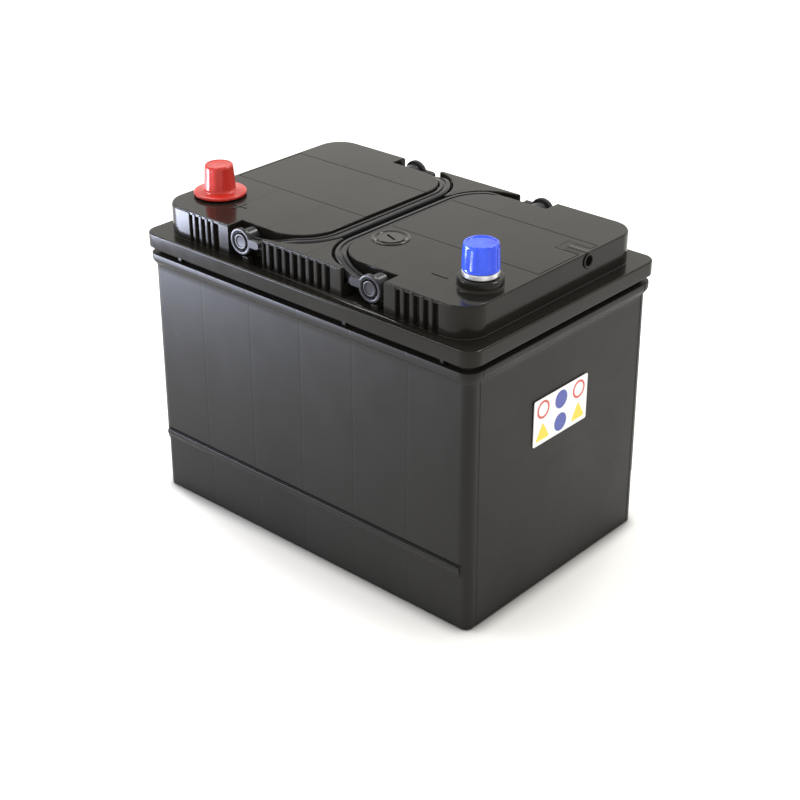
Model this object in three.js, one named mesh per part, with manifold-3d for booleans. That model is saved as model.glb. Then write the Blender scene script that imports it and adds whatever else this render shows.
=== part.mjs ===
// Deep cycle battery, 12 V, six cells, in millimetres.
// X runs along the case, -Y is the terminal side, Z is up. The origin is under the middle of the case.
import * as THREE from "three";
import { mergeVertices } from "three/addons/utils/BufferGeometryUtils.js";
import Module from "manifold-3d";

const wasm = await Module();
wasm.setup();

// ---------------------------------------------------------------- driving dimensions

const GAP = 0.3; // between pieces that touch

// Case: the lid skirt is the widest part.
const LENGTH = 260;
const WIDTH = 173;
const CORNER_RADIUS = 9;
const CASE_INSET = 3.6; // case wall behind the skirt's face, under the shoulder
const FOOT_GROWTH = 1.2; // the wall stands this much further out at the foot
const SHOULDER_INSET = 1;
const SHOULDER_BOTTOM = 157.6;
const SHOULDER_EDGE = 161.6;
const SHOULDER_TOP = 165.6;
const NECK_INSET = 4.2;
const NECK_TOP = 172;
const CAVITY_INSET = 7;
const FLOOR = 3.5;
const RAIL_Y = [-50, -17, 17, 50]; // rails on the floor, under the plates
const RAIL_HALF_WIDTH = 1.5;
const TAB_X = [-101, 35.5, 107]; // tabs on the shoulder of the front wall; the rear is turned round
const TAB_HALF_WIDTH = 3;
const LEDGE_TOP = 42.7; // hold-down ledge on the long sides
const LEDGE_BOTTOM = 36.7;
const LEDGE_HALF_LENGTH = 123;
const LEDGE_DEPTH = 1; // ledge proud of the wall above it
const LOWER_WALL_RECESS = 1.9; // the long walls step back below the ledge

// Cells
const CELLS = 6;
const CELL_WALL = 2.2;
const CELL_PITCH = (LENGTH - 2 * CAVITY_INSET + CELL_WALL) / CELLS;
const PLATE_HALF_WIDTH = 72;
const PLATE_BOTTOM = 8.3;
const PLATE_TOP = 122;
const POSITIVE_THICKNESS = 2.6;
const NEGATIVE_THICKNESS = 2;
const PLATE_STEP = 3.6; // from a positive plate to the next negative one
const SEPARATOR_THICKNESS = 0.7;
const SEPARATOR_TOP = 125;
const STRAP_Y = 46; // straps lie in front (-) and behind (+)
const STRAP_HALF_LENGTH = 19;
const STRAP_BOTTOM = 134;
const STRAP_TOP = 141;
const RISER_TOP = 156;
const RISER_THICKNESS = 3.4;
const POSITIVE_PLATES = [-4, -2, 0, 2, 4]; // places in the cell, in plate steps from its middle
const NEGATIVE_PLATES = [-5, -3, -1, 1, 3, 5];
const LINK_Z = 149;
const LINK_RADIUS = 5;

// Lid
const SKIRT_BOTTOM = 169.8;
const SKIRT_TOP = 179;
const SKIRT_WALL = 3.2;
const DECK_TOP = 198.2;
const DECK_LENGTH = 241;
const DECK_WIDTH = 157;
const DECK_CORNER = 16;
const MIDDLE_BLOCK_TOP = 197;
const CHANNEL_FLOOR = 186;
const TURN_Y = 42; // the channels turn outward round (TURN_X, TURN_Y)
const TURN_X = 34.8;
const TURN_INNER = 24.6; // the straight part of the channels is as wide as their inner turns leave
const TURN_OUTER = 34;
const TIP_Y = 46; // nose of the blocks between the two channels
const RECESS_NEAR = 32.3; // pivot recesses front left and rear right, along X
const RECESS_NEAR_WIDE = 29.5; // the other two
const RECESS_FAR = 61.5;
const RECESS_BACK = 66.6; // its back wall, along Y
const PANEL_FRONT = -15;
const PANEL_BACK = 39.5;
const PANEL_END = 118;
const PANEL_THICKNESS = 2;
const FLUTE_DEPTH = 2.6;
// Flutes along the front wall of the deck, along X; the rear wall has the same, turned round.
const FLUTES = [
  { first: -88.5, step: 5.3, count: 4, width: 2.6 },
  { first: -25.3, step: 6.35, count: 8, width: 3.3 },
  { first: 71.9, step: 6.85, count: 5, width: 3.8 },
];

// Headspaces under the deck: low ones over each cell's straps, high ones clear of the handles.
const HEADSPACE_WALL = 1.6; // to the middle of the cell wall, beyond half its thickness
const LOW_HEADSPACE = { inner: { half: 64, top: 182.6 }, outer: { half: 66, top: 176.4 } };
const HIGH_HEADSPACE = { inner: 40, outer: 57, top: 189.5 };
const HEADSPACE_NEAR = 13.5; // from the middle of the lid, beside a handle's channel
const HEADSPACE_END = 4.6; // from the end of the deck

// Gas channel below each cover panel, with a hole down to each cell
const GAS_CHANNEL_X = [18, 112];
const GAS_CHANNEL_Y = [8, 13];
const GAS_CHANNEL_DEPTH = 3;
const GAS_HOLE_RADIUS = 2.2;

// Handles
const PIVOT_X = 51;
const PIVOT_Z = 190.7;
const RING_RADIUS = 8.25;
const RING_FACE = 78.8; // front face of the ring, along Y
const RING_THICKNESS = 3;
const SLEEVE_RADIUS = 6.3;
const BAR_RADIUS = 28.8; // centre line of its turns
const BAR_TURN = 1.326; // angle of each turn
const BAR_DROP = 3.8; // the arms come down this far to the pivots
const BAR_DROP_START = 25; // along the arm, from the end of the straight grip
const BAR_DROP_END = 48.5;
const BAR_END = 57;
const BAR_WIDTH = 7.2;
const BAR_HEIGHT = 5.5;
const BAR_TOP = 197.2;
const PIN_RADIUS = 4;
const PIN_HEAD_RADIUS = 4.85;
const PIN_HEAD_THICKNESS = 2.4;
const PIN_END = 61.5; // its tail in the deck, along Y
const PIN_CLEARANCE = 0.35; // round the shaft, in the ring
const HEAD_CLEARANCE = 0.9;
const TAB_REACH = 14.7; // flat tab of the ring, from the pivot towards the middle
const REST_FROM = 1; // block on the skirt under each ring, from the pivot's X
const REST_LENGTH = 5;
const REST_HEIGHT = 3.5;

// Terminals
const TERMINAL_X = 102.5;
const TERMINAL_Y = -46;
const POST_RADIUS = 4.9;
const BUSH_BORE = 5.2;
const CAP_WALL = 1; // thickness of the caps' tops
const BOSS_BOTTOM = 181; // lid boss round each bush
const RETAINER_RADIUS = 10.8; // flange below the boss
const BOSS_RADIUS = 14;
const MARK_X = 78.8; // plus and minus signs on the deck
const MARK_Y = -52;
const MARK_HALF_LENGTH = 5.5;
const MARK_HALF_WIDTH = 0.8;
const MARK_HEIGHT = 0.4;

// Charge indicator, over the fourth cell
const INDICATOR_X = 23;
const INDICATOR_Y = -29.6;
const PLUG_BOTTOM = 183;
const PLUG_RADIUS = 7.6;
const PLUG_FLANGE = 11.5;
const CAGE_BOTTOM = 125.8;
const CAGE_TOP = 140;
const BALL_RADIUS = 2.5;

// Gas vent in the right end wall
const VENT_Y = 27.9;
const VENT_Z = 193.3;
const VENT_BORE = 3;
const VENT_TUBE = 3.8; // outside radius of the tube pressed into the wall
const VENT_FLANGE = 4.5;
const VENT_FLANGE_THICKNESS = 0.6;
const VENT_RIDGE = 5.4; // ridge over the vent
const VENT_START = 102; // inner end of the tube
const VENT_RIDGE_START = 106;
const VENT_PAD_Y = [22, 33.8]; // raised pad in the cover panel's corner
const BRANCH_X = [97, 101]; // channel from the gas channel to the tube
const BRANCH_Y = [12, 31];

// Side label on the right end of the case
const LABEL_Y = [-26.3, 24.1];
const LABEL_Z = [97.1, 126.5];
const LABEL_THICKNESS = 0.5;

// ---------------------------------------------------------------- materials

function material(color, roughness, metalness = 0) {
  return new THREE.MeshStandardMaterial({ color, roughness, metalness });
}
const MATERIALS = {
  blackPlastic: material(0x1b1b1c, 0.3),
  handlePlastic: material(0x202022, 0.35),
  redPlastic: material(0xc8322d, 0.35),
  bluePlastic: material(0x3b62f0, 0.3),
  lead: material(0xb9bcc2, 0.35, 1),
  positivePaste: material(0x5a3a2a, 0.9),
  negativePaste: material(0x7c7f83, 0.85),
  separator: material(0xe9e6da, 0.9),
  clearPlastic: material(0xd9e2e4, 0.1),
  greenPlastic: material(0x2aa04a, 0.4),
  rubber: material(0x141414, 0.8),
  porousDisc: material(0xd8d2c4, 0.95),
  labelFilm: material(0xf1f1ef, 0.4),
};

// ---------------------------------------------------------------- solids

// A closed three.js geometry as a manifold-3d solid.
function solid(geometry) {
  geometry.deleteAttribute("normal");
  geometry.deleteAttribute("uv");
  const merged = mergeVertices(geometry, 1e-4);
  return new wasm.Manifold(
    new wasm.Mesh({
      numProp: 3,
      vertProperties: merged.attributes.position.array,
      triVerts: new Uint32Array(merged.index.array),
    }),
  );
}

const ordered = (a, b) => [Math.min(a, b), Math.max(a, b)];

function join(...solids) {
  return solids.reduce((all, one) => all.add(one));
}

function cut(body, ...tools) {
  return tools.reduce((rest, tool) => rest.subtract(tool), body);
}

// A manifold-3d solid as a three.js mesh.
function piece(name, body, look) {
  const mesh = body.getMesh();
  const geometry = new THREE.BufferGeometry();
  geometry.setAttribute(
    "position",
    new THREE.BufferAttribute(new Float32Array(mesh.vertProperties), 3),
  );
  geometry.setIndex(new THREE.BufferAttribute(new Uint32Array(mesh.triVerts), 1));
  geometry.computeVertexNormals();
  const result = new THREE.Mesh(geometry, look);
  result.name = name;
  return result;
}

function box([x0, x1], [y0, y1], [z0, z1]) {
  const geometry = new THREE.BoxGeometry(x1 - x0, y1 - y0, z1 - z0);
  geometry.translate((x0 + x1) / 2, (y0 + y1) / 2, (z0 + z1) / 2);
  return solid(geometry);
}

// A flat outline raised from z0 to z1.
function prism(shape, z0, z1, curveSegments = 3) {
  const geometry = new THREE.ExtrudeGeometry(shape, {
    depth: z1 - z0,
    bevelEnabled: false,
    curveSegments,
  });
  geometry.translate(0, 0, z0);
  return geometry;
}

// An outline in Y and Z, run along X from x0 to x1.
function runAlongX(shape, x0, x1) {
  const geometry = new THREE.ExtrudeGeometry(shape, { depth: x1 - x0, bevelEnabled: false });
  const turn = new THREE.Matrix4().makeBasis(
    new THREE.Vector3(0, 1, 0),
    new THREE.Vector3(0, 0, 1),
    new THREE.Vector3(1, 0, 0),
  );
  geometry.applyMatrix4(turn);
  geometry.translate(x0, 0, 0);
  return solid(geometry);
}

// A body turned about a vertical axis. The profile lists [radius, z] with the material on its left.
function turned(profile, [x, y], segments = 28) {
  const points = profile.map(([radius, z]) => new THREE.Vector2(radius, z));
  const geometry = new THREE.LatheGeometry(points, segments);
  geometry.rotateX(Math.PI / 2);
  geometry.translate(x, y, 0);
  return solid(geometry);
}

// The same, with the axis laid along a direction, from the point given.
function turnedAlong(direction, profile, from, segments = 20) {
  const points = profile.map(([radius, along]) => new THREE.Vector2(radius, along));
  const geometry = new THREE.LatheGeometry(points, segments);
  const turn = new THREE.Quaternion().setFromUnitVectors(new THREE.Vector3(0, 1, 0), direction);
  geometry.applyQuaternion(turn);
  geometry.translate(from[0], from[1], from[2]);
  return solid(geometry);
}

function rod(direction, radius, from, length, segments = 20) {
  const profile = [
    [0, 0],
    [radius, 0],
    [radius, length],
    [0, length],
  ];
  return turnedAlong(direction, profile, from, segments);
}

const ALONG_X = new THREE.Vector3(1, 0, 0);
const ALONG_Y = new THREE.Vector3(0, 1, 0);
const ALONG_Z = new THREE.Vector3(0, 0, 1);

function roundedRectangle(length, width, radius) {
  const x = length / 2;
  const y = width / 2;
  const shape = new THREE.Shape();
  shape.absarc(x - radius, y - radius, radius, 0, Math.PI / 2);
  shape.absarc(-x + radius, y - radius, radius, Math.PI / 2, Math.PI);
  shape.absarc(-x + radius, -y + radius, radius, Math.PI, 1.5 * Math.PI);
  shape.absarc(x - radius, -y + radius, radius, 1.5 * Math.PI, 2 * Math.PI);
  shape.closePath();
  return shape;
}

// A block whose rounded outline steps through levels of [z, inset from the skirt's face, radius].
function stackedBlock(levels, cornerSteps = 6) {
  const rings = levels.map(([z, inset, radius]) => {
    const x = LENGTH / 2 - inset - radius;
    const y = WIDTH / 2 - inset - radius;
    const corners = [
      [x, y],
      [-x, y],
      [-x, -y],
      [x, -y],
    ];
    return corners.flatMap(([cx, cy], quarter) =>
      Array.from({ length: cornerSteps + 1 }, (_, i) => {
        const angle = (quarter + i / cornerSteps) * 0.5 * Math.PI;
        return [cx + radius * Math.cos(angle), cy + radius * Math.sin(angle), z];
      }),
    );
  });
  const count = rings[0].length;
  const triangles = [];
  for (let level = 1; level < rings.length; level++)
    for (let i = 0; i < count; i++) {
      const low = (level - 1) * count;
      const next = (i + 1) % count;
      triangles.push([low + i, low + next, low + count + next]);
      triangles.push([low + i, low + count + next, low + count + i]);
    }
  const top = (rings.length - 1) * count;
  for (let i = 2; i < count; i++) triangles.push([0, i, i - 1], [top, top + i - 1, top + i]);
  const geometry = new THREE.BufferGeometry();
  geometry.setAttribute("position", new THREE.Float32BufferAttribute(rings.flat(2), 3));
  geometry.setIndex(triangles.flat());
  return solid(geometry);
}

// ---------------------------------------------------------------- container

const cellX = (cell) => (cell - (CELLS + 1) / 2) * CELL_PITCH;
const wallX = (wall) => (wall - CELLS / 2) * CELL_PITCH;

// Straps alternate between front and back, so that neighbouring cells meet.
const positiveY = (cell) => (cell % 2 === 1 ? -STRAP_Y : STRAP_Y);
const negativeY = (cell) => -positiveY(cell);

// Distance of the wall's face from the skirt's, at a height.
const wallInset = (z) => CASE_INSET - FOOT_GROWTH * (1 - z / SHOULDER_BOTTOM);

function holdDownLedge(side) {
  const wall = WIDTH / 2 - wallInset(LEDGE_TOP);
  const shape = new THREE.Shape();
  shape.moveTo(side * (wall - 2), LEDGE_BOTTOM - 1);
  shape.lineTo(side * (wall - LOWER_WALL_RECESS + 0.6), LEDGE_BOTTOM);
  shape.lineTo(side * (wall + LEDGE_DEPTH), LEDGE_TOP - 0.6);
  shape.lineTo(side * (wall + LEDGE_DEPTH - 0.4), LEDGE_TOP);
  shape.lineTo(side * (wall - 2), LEDGE_TOP);
  shape.closePath();
  return runAlongX(shape, -LEDGE_HALF_LENGTH, LEDGE_HALF_LENGTH);
}

function lowerWallRecess(side) {
  const foot = WIDTH / 2 - wallInset(0);
  const inner = side * (foot - LOWER_WALL_RECESS);
  const outer = side * (foot + 5);
  return box([-LENGTH / 2, LENGTH / 2], ordered(inner, outer), [-1, LEDGE_BOTTOM]);
}

function container() {
  let body = stackedBlock([
    [0, wallInset(0), 7],
    [SHOULDER_BOTTOM, CASE_INSET, 7],
    [SHOULDER_EDGE, SHOULDER_INSET, 8],
    [SHOULDER_TOP, SHOULDER_INSET, 8],
    [SHOULDER_TOP, NECK_INSET, 6],
    [NECK_TOP, NECK_INSET, 6],
  ]);
  body = cut(body, lowerWallRecess(-1), lowerWallRecess(1));
  body = join(body, holdDownLedge(-1), holdDownLedge(1));

  const outline = roundedRectangle(CELL_PITCH - CELL_WALL, WIDTH - 2 * CAVITY_INSET, 3);
  for (let cell = 1; cell <= CELLS; cell++) {
    const cavity = prism(outline, FLOOR, NECK_TOP + 1);
    cavity.translate(cellX(cell), 0, 0);
    body = cut(body, solid(cavity));
  }
  for (let wall = 1; wall < CELLS; wall++) {
    const hole = [wallX(wall) - CELL_WALL, negativeY(wall), LINK_Z];
    body = cut(body, rod(ALONG_X, LINK_RADIUS + GAP, hole, 2 * CELL_WALL, 16));
  }
  const insideX = LENGTH / 2 - CAVITY_INSET + 0.5;
  for (const middle of RAIL_Y) {
    const y = [middle - RAIL_HALF_WIDTH, middle + RAIL_HALF_WIDTH];
    body = join(body, box([-insideX, insideX], y, [FLOOR - 0.5, PLATE_BOTTOM - GAP]));
  }
  return join(body, ...skirtTabs());
}

// Small tabs that stand on the shoulder, under the lid skirt.
function skirtTabs() {
  const tabs = [];
  const z = [SHOULDER_TOP - 0.5, SKIRT_BOTTOM - GAP];
  for (const side of [-1, 1])
    for (const along of TAB_X) {
      const x = -side * along;
      const outer = side * (WIDTH / 2 - SHOULDER_INSET - 0.4);
      const inner = side * (WIDTH / 2 - NECK_INSET - 0.5);
      tabs.push(box([x - TAB_HALF_WIDTH, x + TAB_HALF_WIDTH], ordered(outer, inner), z));
    }
  return tabs;
}

// ---------------------------------------------------------------- lid

// Outline of the handle channels: the strip in the middle and the four turns at its ends.
function channelOutline() {
  const nose = Math.asin((TIP_Y - TURN_Y) / TURN_OUTER);
  const quarter = Math.PI / 2;
  const shape = new THREE.Shape();
  shape.absarc(TURN_X, -TURN_Y, TURN_INNER, -quarter, -2 * quarter, true);
  shape.absarc(TURN_X, TURN_Y, TURN_INNER, 2 * quarter, quarter, true);
  shape.absarc(TURN_X, TURN_Y, TURN_OUTER, quarter, 2 * quarter - nose, false);
  shape.absarc(-TURN_X, TURN_Y, TURN_OUTER, nose, quarter, false);
  shape.absarc(-TURN_X, TURN_Y, TURN_INNER, quarter, 0, true);
  shape.absarc(-TURN_X, -TURN_Y, TURN_INNER, 0, -quarter, true);
  shape.absarc(-TURN_X, -TURN_Y, TURN_OUTER, -quarter, -nose, false);
  shape.absarc(TURN_X, -TURN_Y, TURN_OUTER, -2 * quarter + nose, -quarter, false);
  shape.closePath();
  return shape;
}

// Outline over the block between the channels, with its edges in the middle of the channels.
function middleBlockOutline(sideY) {
  const radius = (TURN_INNER + TURN_OUTER) / 2;
  const far = sideY * (DECK_WIDTH / 2 + 2);
  const quarter = (sideY * Math.PI) / 2;
  const shape = new THREE.Shape();
  shape.moveTo(-TURN_X, far);
  shape.lineTo(TURN_X, far);
  shape.absarc(TURN_X, sideY * TURN_Y, radius, quarter, 2 * quarter, sideY < 0);
  shape.absarc(-TURN_X, sideY * TURN_Y, radius, 0, quarter, sideY < 0);
  shape.closePath();
  return shape;
}

// Flutes down the long walls of the deck.
function flutes() {
  const z = [SKIRT_TOP + GAP, DECK_TOP + 1];
  const tools = [];
  const inner = DECK_WIDTH / 2 - FLUTE_DEPTH;
  const outer = DECK_WIDTH / 2 + 1;
  for (const { first, step, count, width } of FLUTES)
    for (let x = first; x < first + (count - 0.5) * step; x += step) {
      tools.push(box([x - width / 2, x + width / 2], [-outer, -inner], z));
      tools.push(box([-x - width / 2, -x + width / 2], [inner, outer], z));
    }
  return tools;
}

// Hollows under the deck, two in each cell.
function headspaces() {
  const half = (CELL_PITCH - CELL_WALL) / 2 - HEADSPACE_WALL;
  const bottom = NECK_TOP - 1;
  const hollows = [];
  for (let cell = 1; cell <= CELLS; cell++) {
    const x = cellX(cell);
    const middle = Math.abs(x);
    const place = middle < CELL_PITCH ? "inner" : "outer";
    const low = LOW_HEADSPACE[place];
    hollows.push(box([x - half, x + half], [-low.half, low.half], [bottom, low.top]));
    const side = Math.sign(x);
    const from = Math.max(middle - half, HEADSPACE_NEAR);
    const to = Math.min(middle + half, DECK_LENGTH / 2 - HEADSPACE_END);
    const high = HIGH_HEADSPACE[place];
    hollows.push(box(ordered(side * from, side * to), [-high, high], [bottom, HIGH_HEADSPACE.top]));
  }
  return hollows;
}

function pivotRecess(sideX, sideY) {
  const near = sideX * (sideX === sideY ? RECESS_NEAR : RECESS_NEAR_WIDE);
  const far = sideX * RECESS_FAR;
  const back = sideY * RECESS_BACK;
  const front = sideY * WIDTH;
  return box(ordered(near, far), ordered(back, front), [SKIRT_TOP + GAP, DECK_TOP + 1]);
}

function lid() {
  const skirt = solid(prism(roundedRectangle(LENGTH, WIDTH, CORNER_RADIUS), SKIRT_BOTTOM, SKIRT_TOP));
  const deckOutline = roundedRectangle(DECK_LENGTH, DECK_WIDTH, DECK_CORNER);
  const deck = solid(prism(deckOutline, SKIRT_TOP - 1, DECK_TOP, 5));
  let body = join(skirt, deck);

  // Underside: room for the case's neck, and the headspaces.
  const inside = roundedRectangle(LENGTH - 2 * SKIRT_WALL, WIDTH - 2 * SKIRT_WALL, 6);
  body = cut(body, solid(prism(inside, SKIRT_BOTTOM - 1, NECK_TOP + GAP)), ...headspaces());

  // Top: handle channels, pivot recesses, lower middle blocks, flutes.
  const above = DECK_TOP + 1;
  body = cut(body, solid(prism(channelOutline(), CHANNEL_FLOOR, above, 6)));
  for (const sideY of [-1, 1]) {
    body = cut(body, solid(prism(middleBlockOutline(sideY), MIDDLE_BLOCK_TOP, above, 6)));
    for (const sideX of [-1, 1]) body = cut(body, pivotRecess(sideX, sideY));
  }
  body = cut(body, ...flutes());

  body = addPanelSeats(body);
  body = addPivots(body);
  body = addTerminalBosses(body);
  body = addIndicatorSeat(body);
  body = addVent(body);
  return join(body, ...polarityMarks());
}

// Shallow seats for the cover panels, with the gas channels below them.
function addPanelSeats(body) {
  const seat = DECK_TOP - PANEL_THICKNESS - GAP;
  for (const side of [-1, 1]) {
    const x = ordered(side * (TURN_X - TURN_INNER - 1), side * (PANEL_END + GAP));
    const y = [PANEL_FRONT - GAP, PANEL_BACK + GAP];
    body = cut(body, box(x, y, [seat, DECK_TOP + 1]));
    const channel = ordered(side * GAS_CHANNEL_X[0], side * GAS_CHANNEL_X[1]);
    body = cut(body, box(channel, GAS_CHANNEL_Y, [seat - GAS_CHANNEL_DEPTH, seat + 1]));
    const middle = (GAS_CHANNEL_Y[0] + GAS_CHANNEL_Y[1]) / 2;
    for (const cell of [4, 5, 6]) {
      const foot = [side * cellX(cell), middle, HIGH_HEADSPACE.top - 4.5];
      body = cut(body, rod(ALONG_Z, GAS_HOLE_RADIUS, foot, 10, 12));
    }
  }
  return body;
}

// A tail hole for each pivot pin, and the small rest block under each ring.
function addPivots(body) {
  for (const sideX of [-1, 1])
    for (const sideY of [-1, 1]) {
      const x = sideX * PIVOT_X;
      const [from, to] = ordered(sideY * (PIN_END - GAP), sideY * (RECESS_BACK + 1));
      body = cut(body, rod(ALONG_Y, PIN_RADIUS + GAP, [x, from, PIVOT_Z], to - from, 24));
      const y = ordered(sideY * RING_FACE, sideY * (RING_FACE - 4));
      const rest = [x + REST_FROM, x + REST_FROM + REST_LENGTH];
      body = join(body, box(rest, y, [SKIRT_TOP - 0.5, SKIRT_TOP + REST_HEIGHT]));
    }
  return body;
}

function addTerminalBosses(body) {
  const sides = [
    [-TERMINAL_X, POSITIVE],
    [TERMINAL_X, NEGATIVE],
  ];
  for (const [x, size] of sides) {
    const upright = (radius, z0, z1, segments) =>
      rod(ALONG_Z, radius, [x, TERMINAL_Y, z0], z1 - z0, segments);
    const boss = upright(BOSS_RADIUS, BOSS_BOTTOM, DECK_TOP - 2, 20);
    const collar = upright(size.collarRadius, DECK_TOP - 1, DECK_TOP + size.collarHeight, 28);
    const hole = upright(size.bodyRadius + GAP, BOSS_BOTTOM - 2, DECK_TOP + 20, 20);
    body = cut(join(body, boss, collar), hole);
  }
  return body;
}

function addIndicatorSeat(body) {
  const at = (radius, z0, z1) => rod(ALONG_Z, radius, [INDICATOR_X, INDICATOR_Y, z0], z1 - z0, 24);
  body = join(body, at(10.6, PLUG_BOTTOM + 1, DECK_TOP - 2));
  const bore = at(PLUG_RADIUS + 0.4, PLUG_BOTTOM - 3, DECK_TOP + 1);
  return cut(body, bore, at(10, DECK_TOP - 2, DECK_TOP + 1));
}

// Boss, bore and branch channel of the vent, in the right end wall.
function addVent(body) {
  const end = DECK_LENGTH / 2;
  const along = (radius, x0, x1) => rod(ALONG_X, radius, [x0, VENT_Y, VENT_Z], x1 - x0, 20);
  const pad = box([VENT_START, PANEL_END + 1], VENT_PAD_Y, [DECK_TOP - 3, DECK_TOP]);
  body = join(body, pad, along(VENT_RIDGE, VENT_RIDGE_START, end));
  body = cut(body, along(VENT_TUBE + GAP, VENT_START - 2, end + 1));
  return cut(body, box(BRANCH_X, BRANCH_Y, [DECK_TOP - 5.3, DECK_TOP - 2.1]));
}

// A raised minus beside the right terminal and a plus beside the left one.
function polarityMarks() {
  const stroke = (x, halfX, halfY) =>
    box([x - halfX, x + halfX], [MARK_Y - halfY, MARK_Y + halfY], [DECK_TOP - 0.5, DECK_TOP + MARK_HEIGHT]);
  return [
    stroke(MARK_X, MARK_HALF_LENGTH, MARK_HALF_WIDTH),
    stroke(-MARK_X, MARK_HALF_LENGTH, MARK_HALF_WIDTH),
    stroke(-MARK_X, MARK_HALF_WIDTH, MARK_HALF_LENGTH),
  ];
}

function coverPanel(side) {
  const x = ordered(side * (TURN_X - TURN_INNER + 0.3), side * PANEL_END);
  const plate = box(x, [PANEL_FRONT, PANEL_BACK], [DECK_TOP - PANEL_THICKNESS, DECK_TOP]);
  if (side < 0) return plate;
  const y = [VENT_PAD_Y[0] - GAP, VENT_PAD_Y[1] + GAP];
  return cut(plate, box([VENT_START - GAP, PANEL_END + 1], y, [DECK_TOP - 4, DECK_TOP + 1]));
}

// ---------------------------------------------------------------- handles

// Bar section as [across, up from its underside], with its edges bevelled.
function barSection() {
  const w = BAR_WIDTH / 2;
  const edge = 1.1;
  return [
    [-w, edge],
    [-w + edge, 0],
    [w - edge, 0],
    [w, edge],
    [w, BAR_HEIGHT - edge],
    [w - edge, BAR_HEIGHT],
    [-w + edge, BAR_HEIGHT],
    [-w, BAR_HEIGHT - edge],
  ];
}

// A station on the rear half of the bar, at a distance along it from the end of the straight grip:
// round the turn, then straight to the ring. The arm comes down from the grip to the pivot.
function barStation(distance) {
  const arc = BAR_RADIUS * BAR_TURN;
  const angle = Math.min(distance / BAR_RADIUS, BAR_TURN);
  const straight = Math.max(distance - arc, 0);
  const along = [Math.sin(angle), Math.cos(angle)];
  const x = TURN_X - BAR_RADIUS * Math.cos(angle) + straight * along[0];
  const y = TURN_Y + BAR_RADIUS * Math.sin(angle) + straight * along[1];
  const slope = THREE.MathUtils.smoothstep(distance, BAR_DROP_START, BAR_DROP_END);
  return { x, y, along, top: BAR_TOP - BAR_DROP * slope };
}

// The grip and its two arms, as a skin over rings of the section.
function bar(side) {
  const half = [0, 6, 12, 18, 25, 29, 33, 37, 41, 45, BAR_DROP_END, BAR_END].map(barStation);
  const front = half.map(({ x, y, along, top }) => ({ x, y: -y, along: [-along[0], along[1]], top }));
  const stations = [...front.reverse(), ...half];
  const section = barSection();
  const points = stations.flatMap(({ x, y, along, top }) =>
    section.map(([across, up]) => [
      side * (x + along[1] * across),
      y - along[0] * across,
      top - BAR_HEIGHT + up,
    ]),
  );
  const count = section.length;
  const triangles = [];
  for (let station = 1; station < stations.length; station++)
    for (let i = 0; i < count; i++) {
      const low = (station - 1) * count;
      const next = (i + 1) % count;
      triangles.push([low + i, low + count + next, low + next]);
      triangles.push([low + i, low + count + i, low + count + next]);
    }
  const end = points.length - count;
  for (let i = 2; i < count; i++) triangles.push([0, i - 1, i], [end, end + i, end + i - 1]);
  const facing = side > 0 ? triangles : triangles.map(([a, b, c]) => [a, c, b]);
  const geometry = new THREE.BufferGeometry();
  geometry.setAttribute("position", new THREE.Float32BufferAttribute(points.flat(), 3));
  geometry.setIndex(facing.flat());
  return solid(geometry);
}

function handle(side) {
  let body = bar(side);
  const x = side * PIVOT_X;
  for (const sideY of [-1, 1]) {
    const outward = ALONG_Y.clone().multiplyScalar(sideY);
    const start = RECESS_BACK + 2 * GAP;
    body = join(
      body,
      rod(outward, SLEEVE_RADIUS, [x, sideY * start, PIVOT_Z], RING_FACE - start, 24),
      rod(outward, RING_RADIUS, [x, sideY * (RING_FACE - RING_THICKNESS), PIVOT_Z], RING_THICKNESS, 28),
      ringTab(side, sideY),
    );
    const counterbore = RING_FACE - start - PIN_HEAD_THICKNESS - GAP;
    const bore = [
      [0, -1],
      [PIN_RADIUS + PIN_CLEARANCE, -1],
      [PIN_RADIUS + PIN_CLEARANCE, counterbore],
      [PIN_HEAD_RADIUS + HEAD_CLEARANCE, counterbore],
      [PIN_HEAD_RADIUS + HEAD_CLEARANCE, RING_FACE - start + 1],
      [0, RING_FACE - start + 1],
    ];
    body = cut(body, turnedAlong(outward, bore, [x, sideY * start, PIVOT_Z]));
  }
  return body;
}

// Flat tab that joins the ring to the bar's turn.
function ringTab(side, sideY) {
  const inner = side * (PIVOT_X - TAB_REACH);
  const outer = side * (PIVOT_X - RING_RADIUS + 1.5);
  const y = ordered(sideY * RING_FACE, sideY * (RING_FACE - RING_THICKNESS));
  return box(ordered(inner, outer), y, [PIVOT_Z - 1, PIVOT_Z + 3]);
}

function pivotPin(sideX, sideY) {
  const outward = ALONG_Y.clone().multiplyScalar(sideY);
  const end = RING_FACE - PIN_END;
  const shaft = end - PIN_HEAD_THICKNESS;
  const profile = [
    [0, 0],
    [PIN_RADIUS - 0.6, 0],
    [PIN_RADIUS, 0.6],
    [PIN_RADIUS, shaft],
    [PIN_HEAD_RADIUS, shaft],
    [PIN_HEAD_RADIUS, end - 0.3],
    [PIN_HEAD_RADIUS - 0.4, end],
    [0, end],
  ];
  return turnedAlong(outward, profile, [sideX * PIVOT_X, sideY * PIN_END, PIVOT_Z], 16);
}

// ---------------------------------------------------------------- terminals

// Each bush has a flange below the lid's boss, a flange above its collar, and a tapered contact.
const POSITIVE = {
  collarRadius: 14,
  collarHeight: 0.6,
  bodyRadius: 7.4,
  flangeRadius: 8.5,
  flangeHeight: 2.2,
  coneBase: 8.2,
  coneTop: 7.4,
  top: 215.6,
};
const NEGATIVE = {
  collarRadius: 13,
  collarHeight: 5.4,
  bodyRadius: 8.4,
  flangeRadius: 10.4,
  flangeHeight: 3,
  coneBase: 8.7,
  coneTop: 7.9,
  top: 220.9,
};

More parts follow.
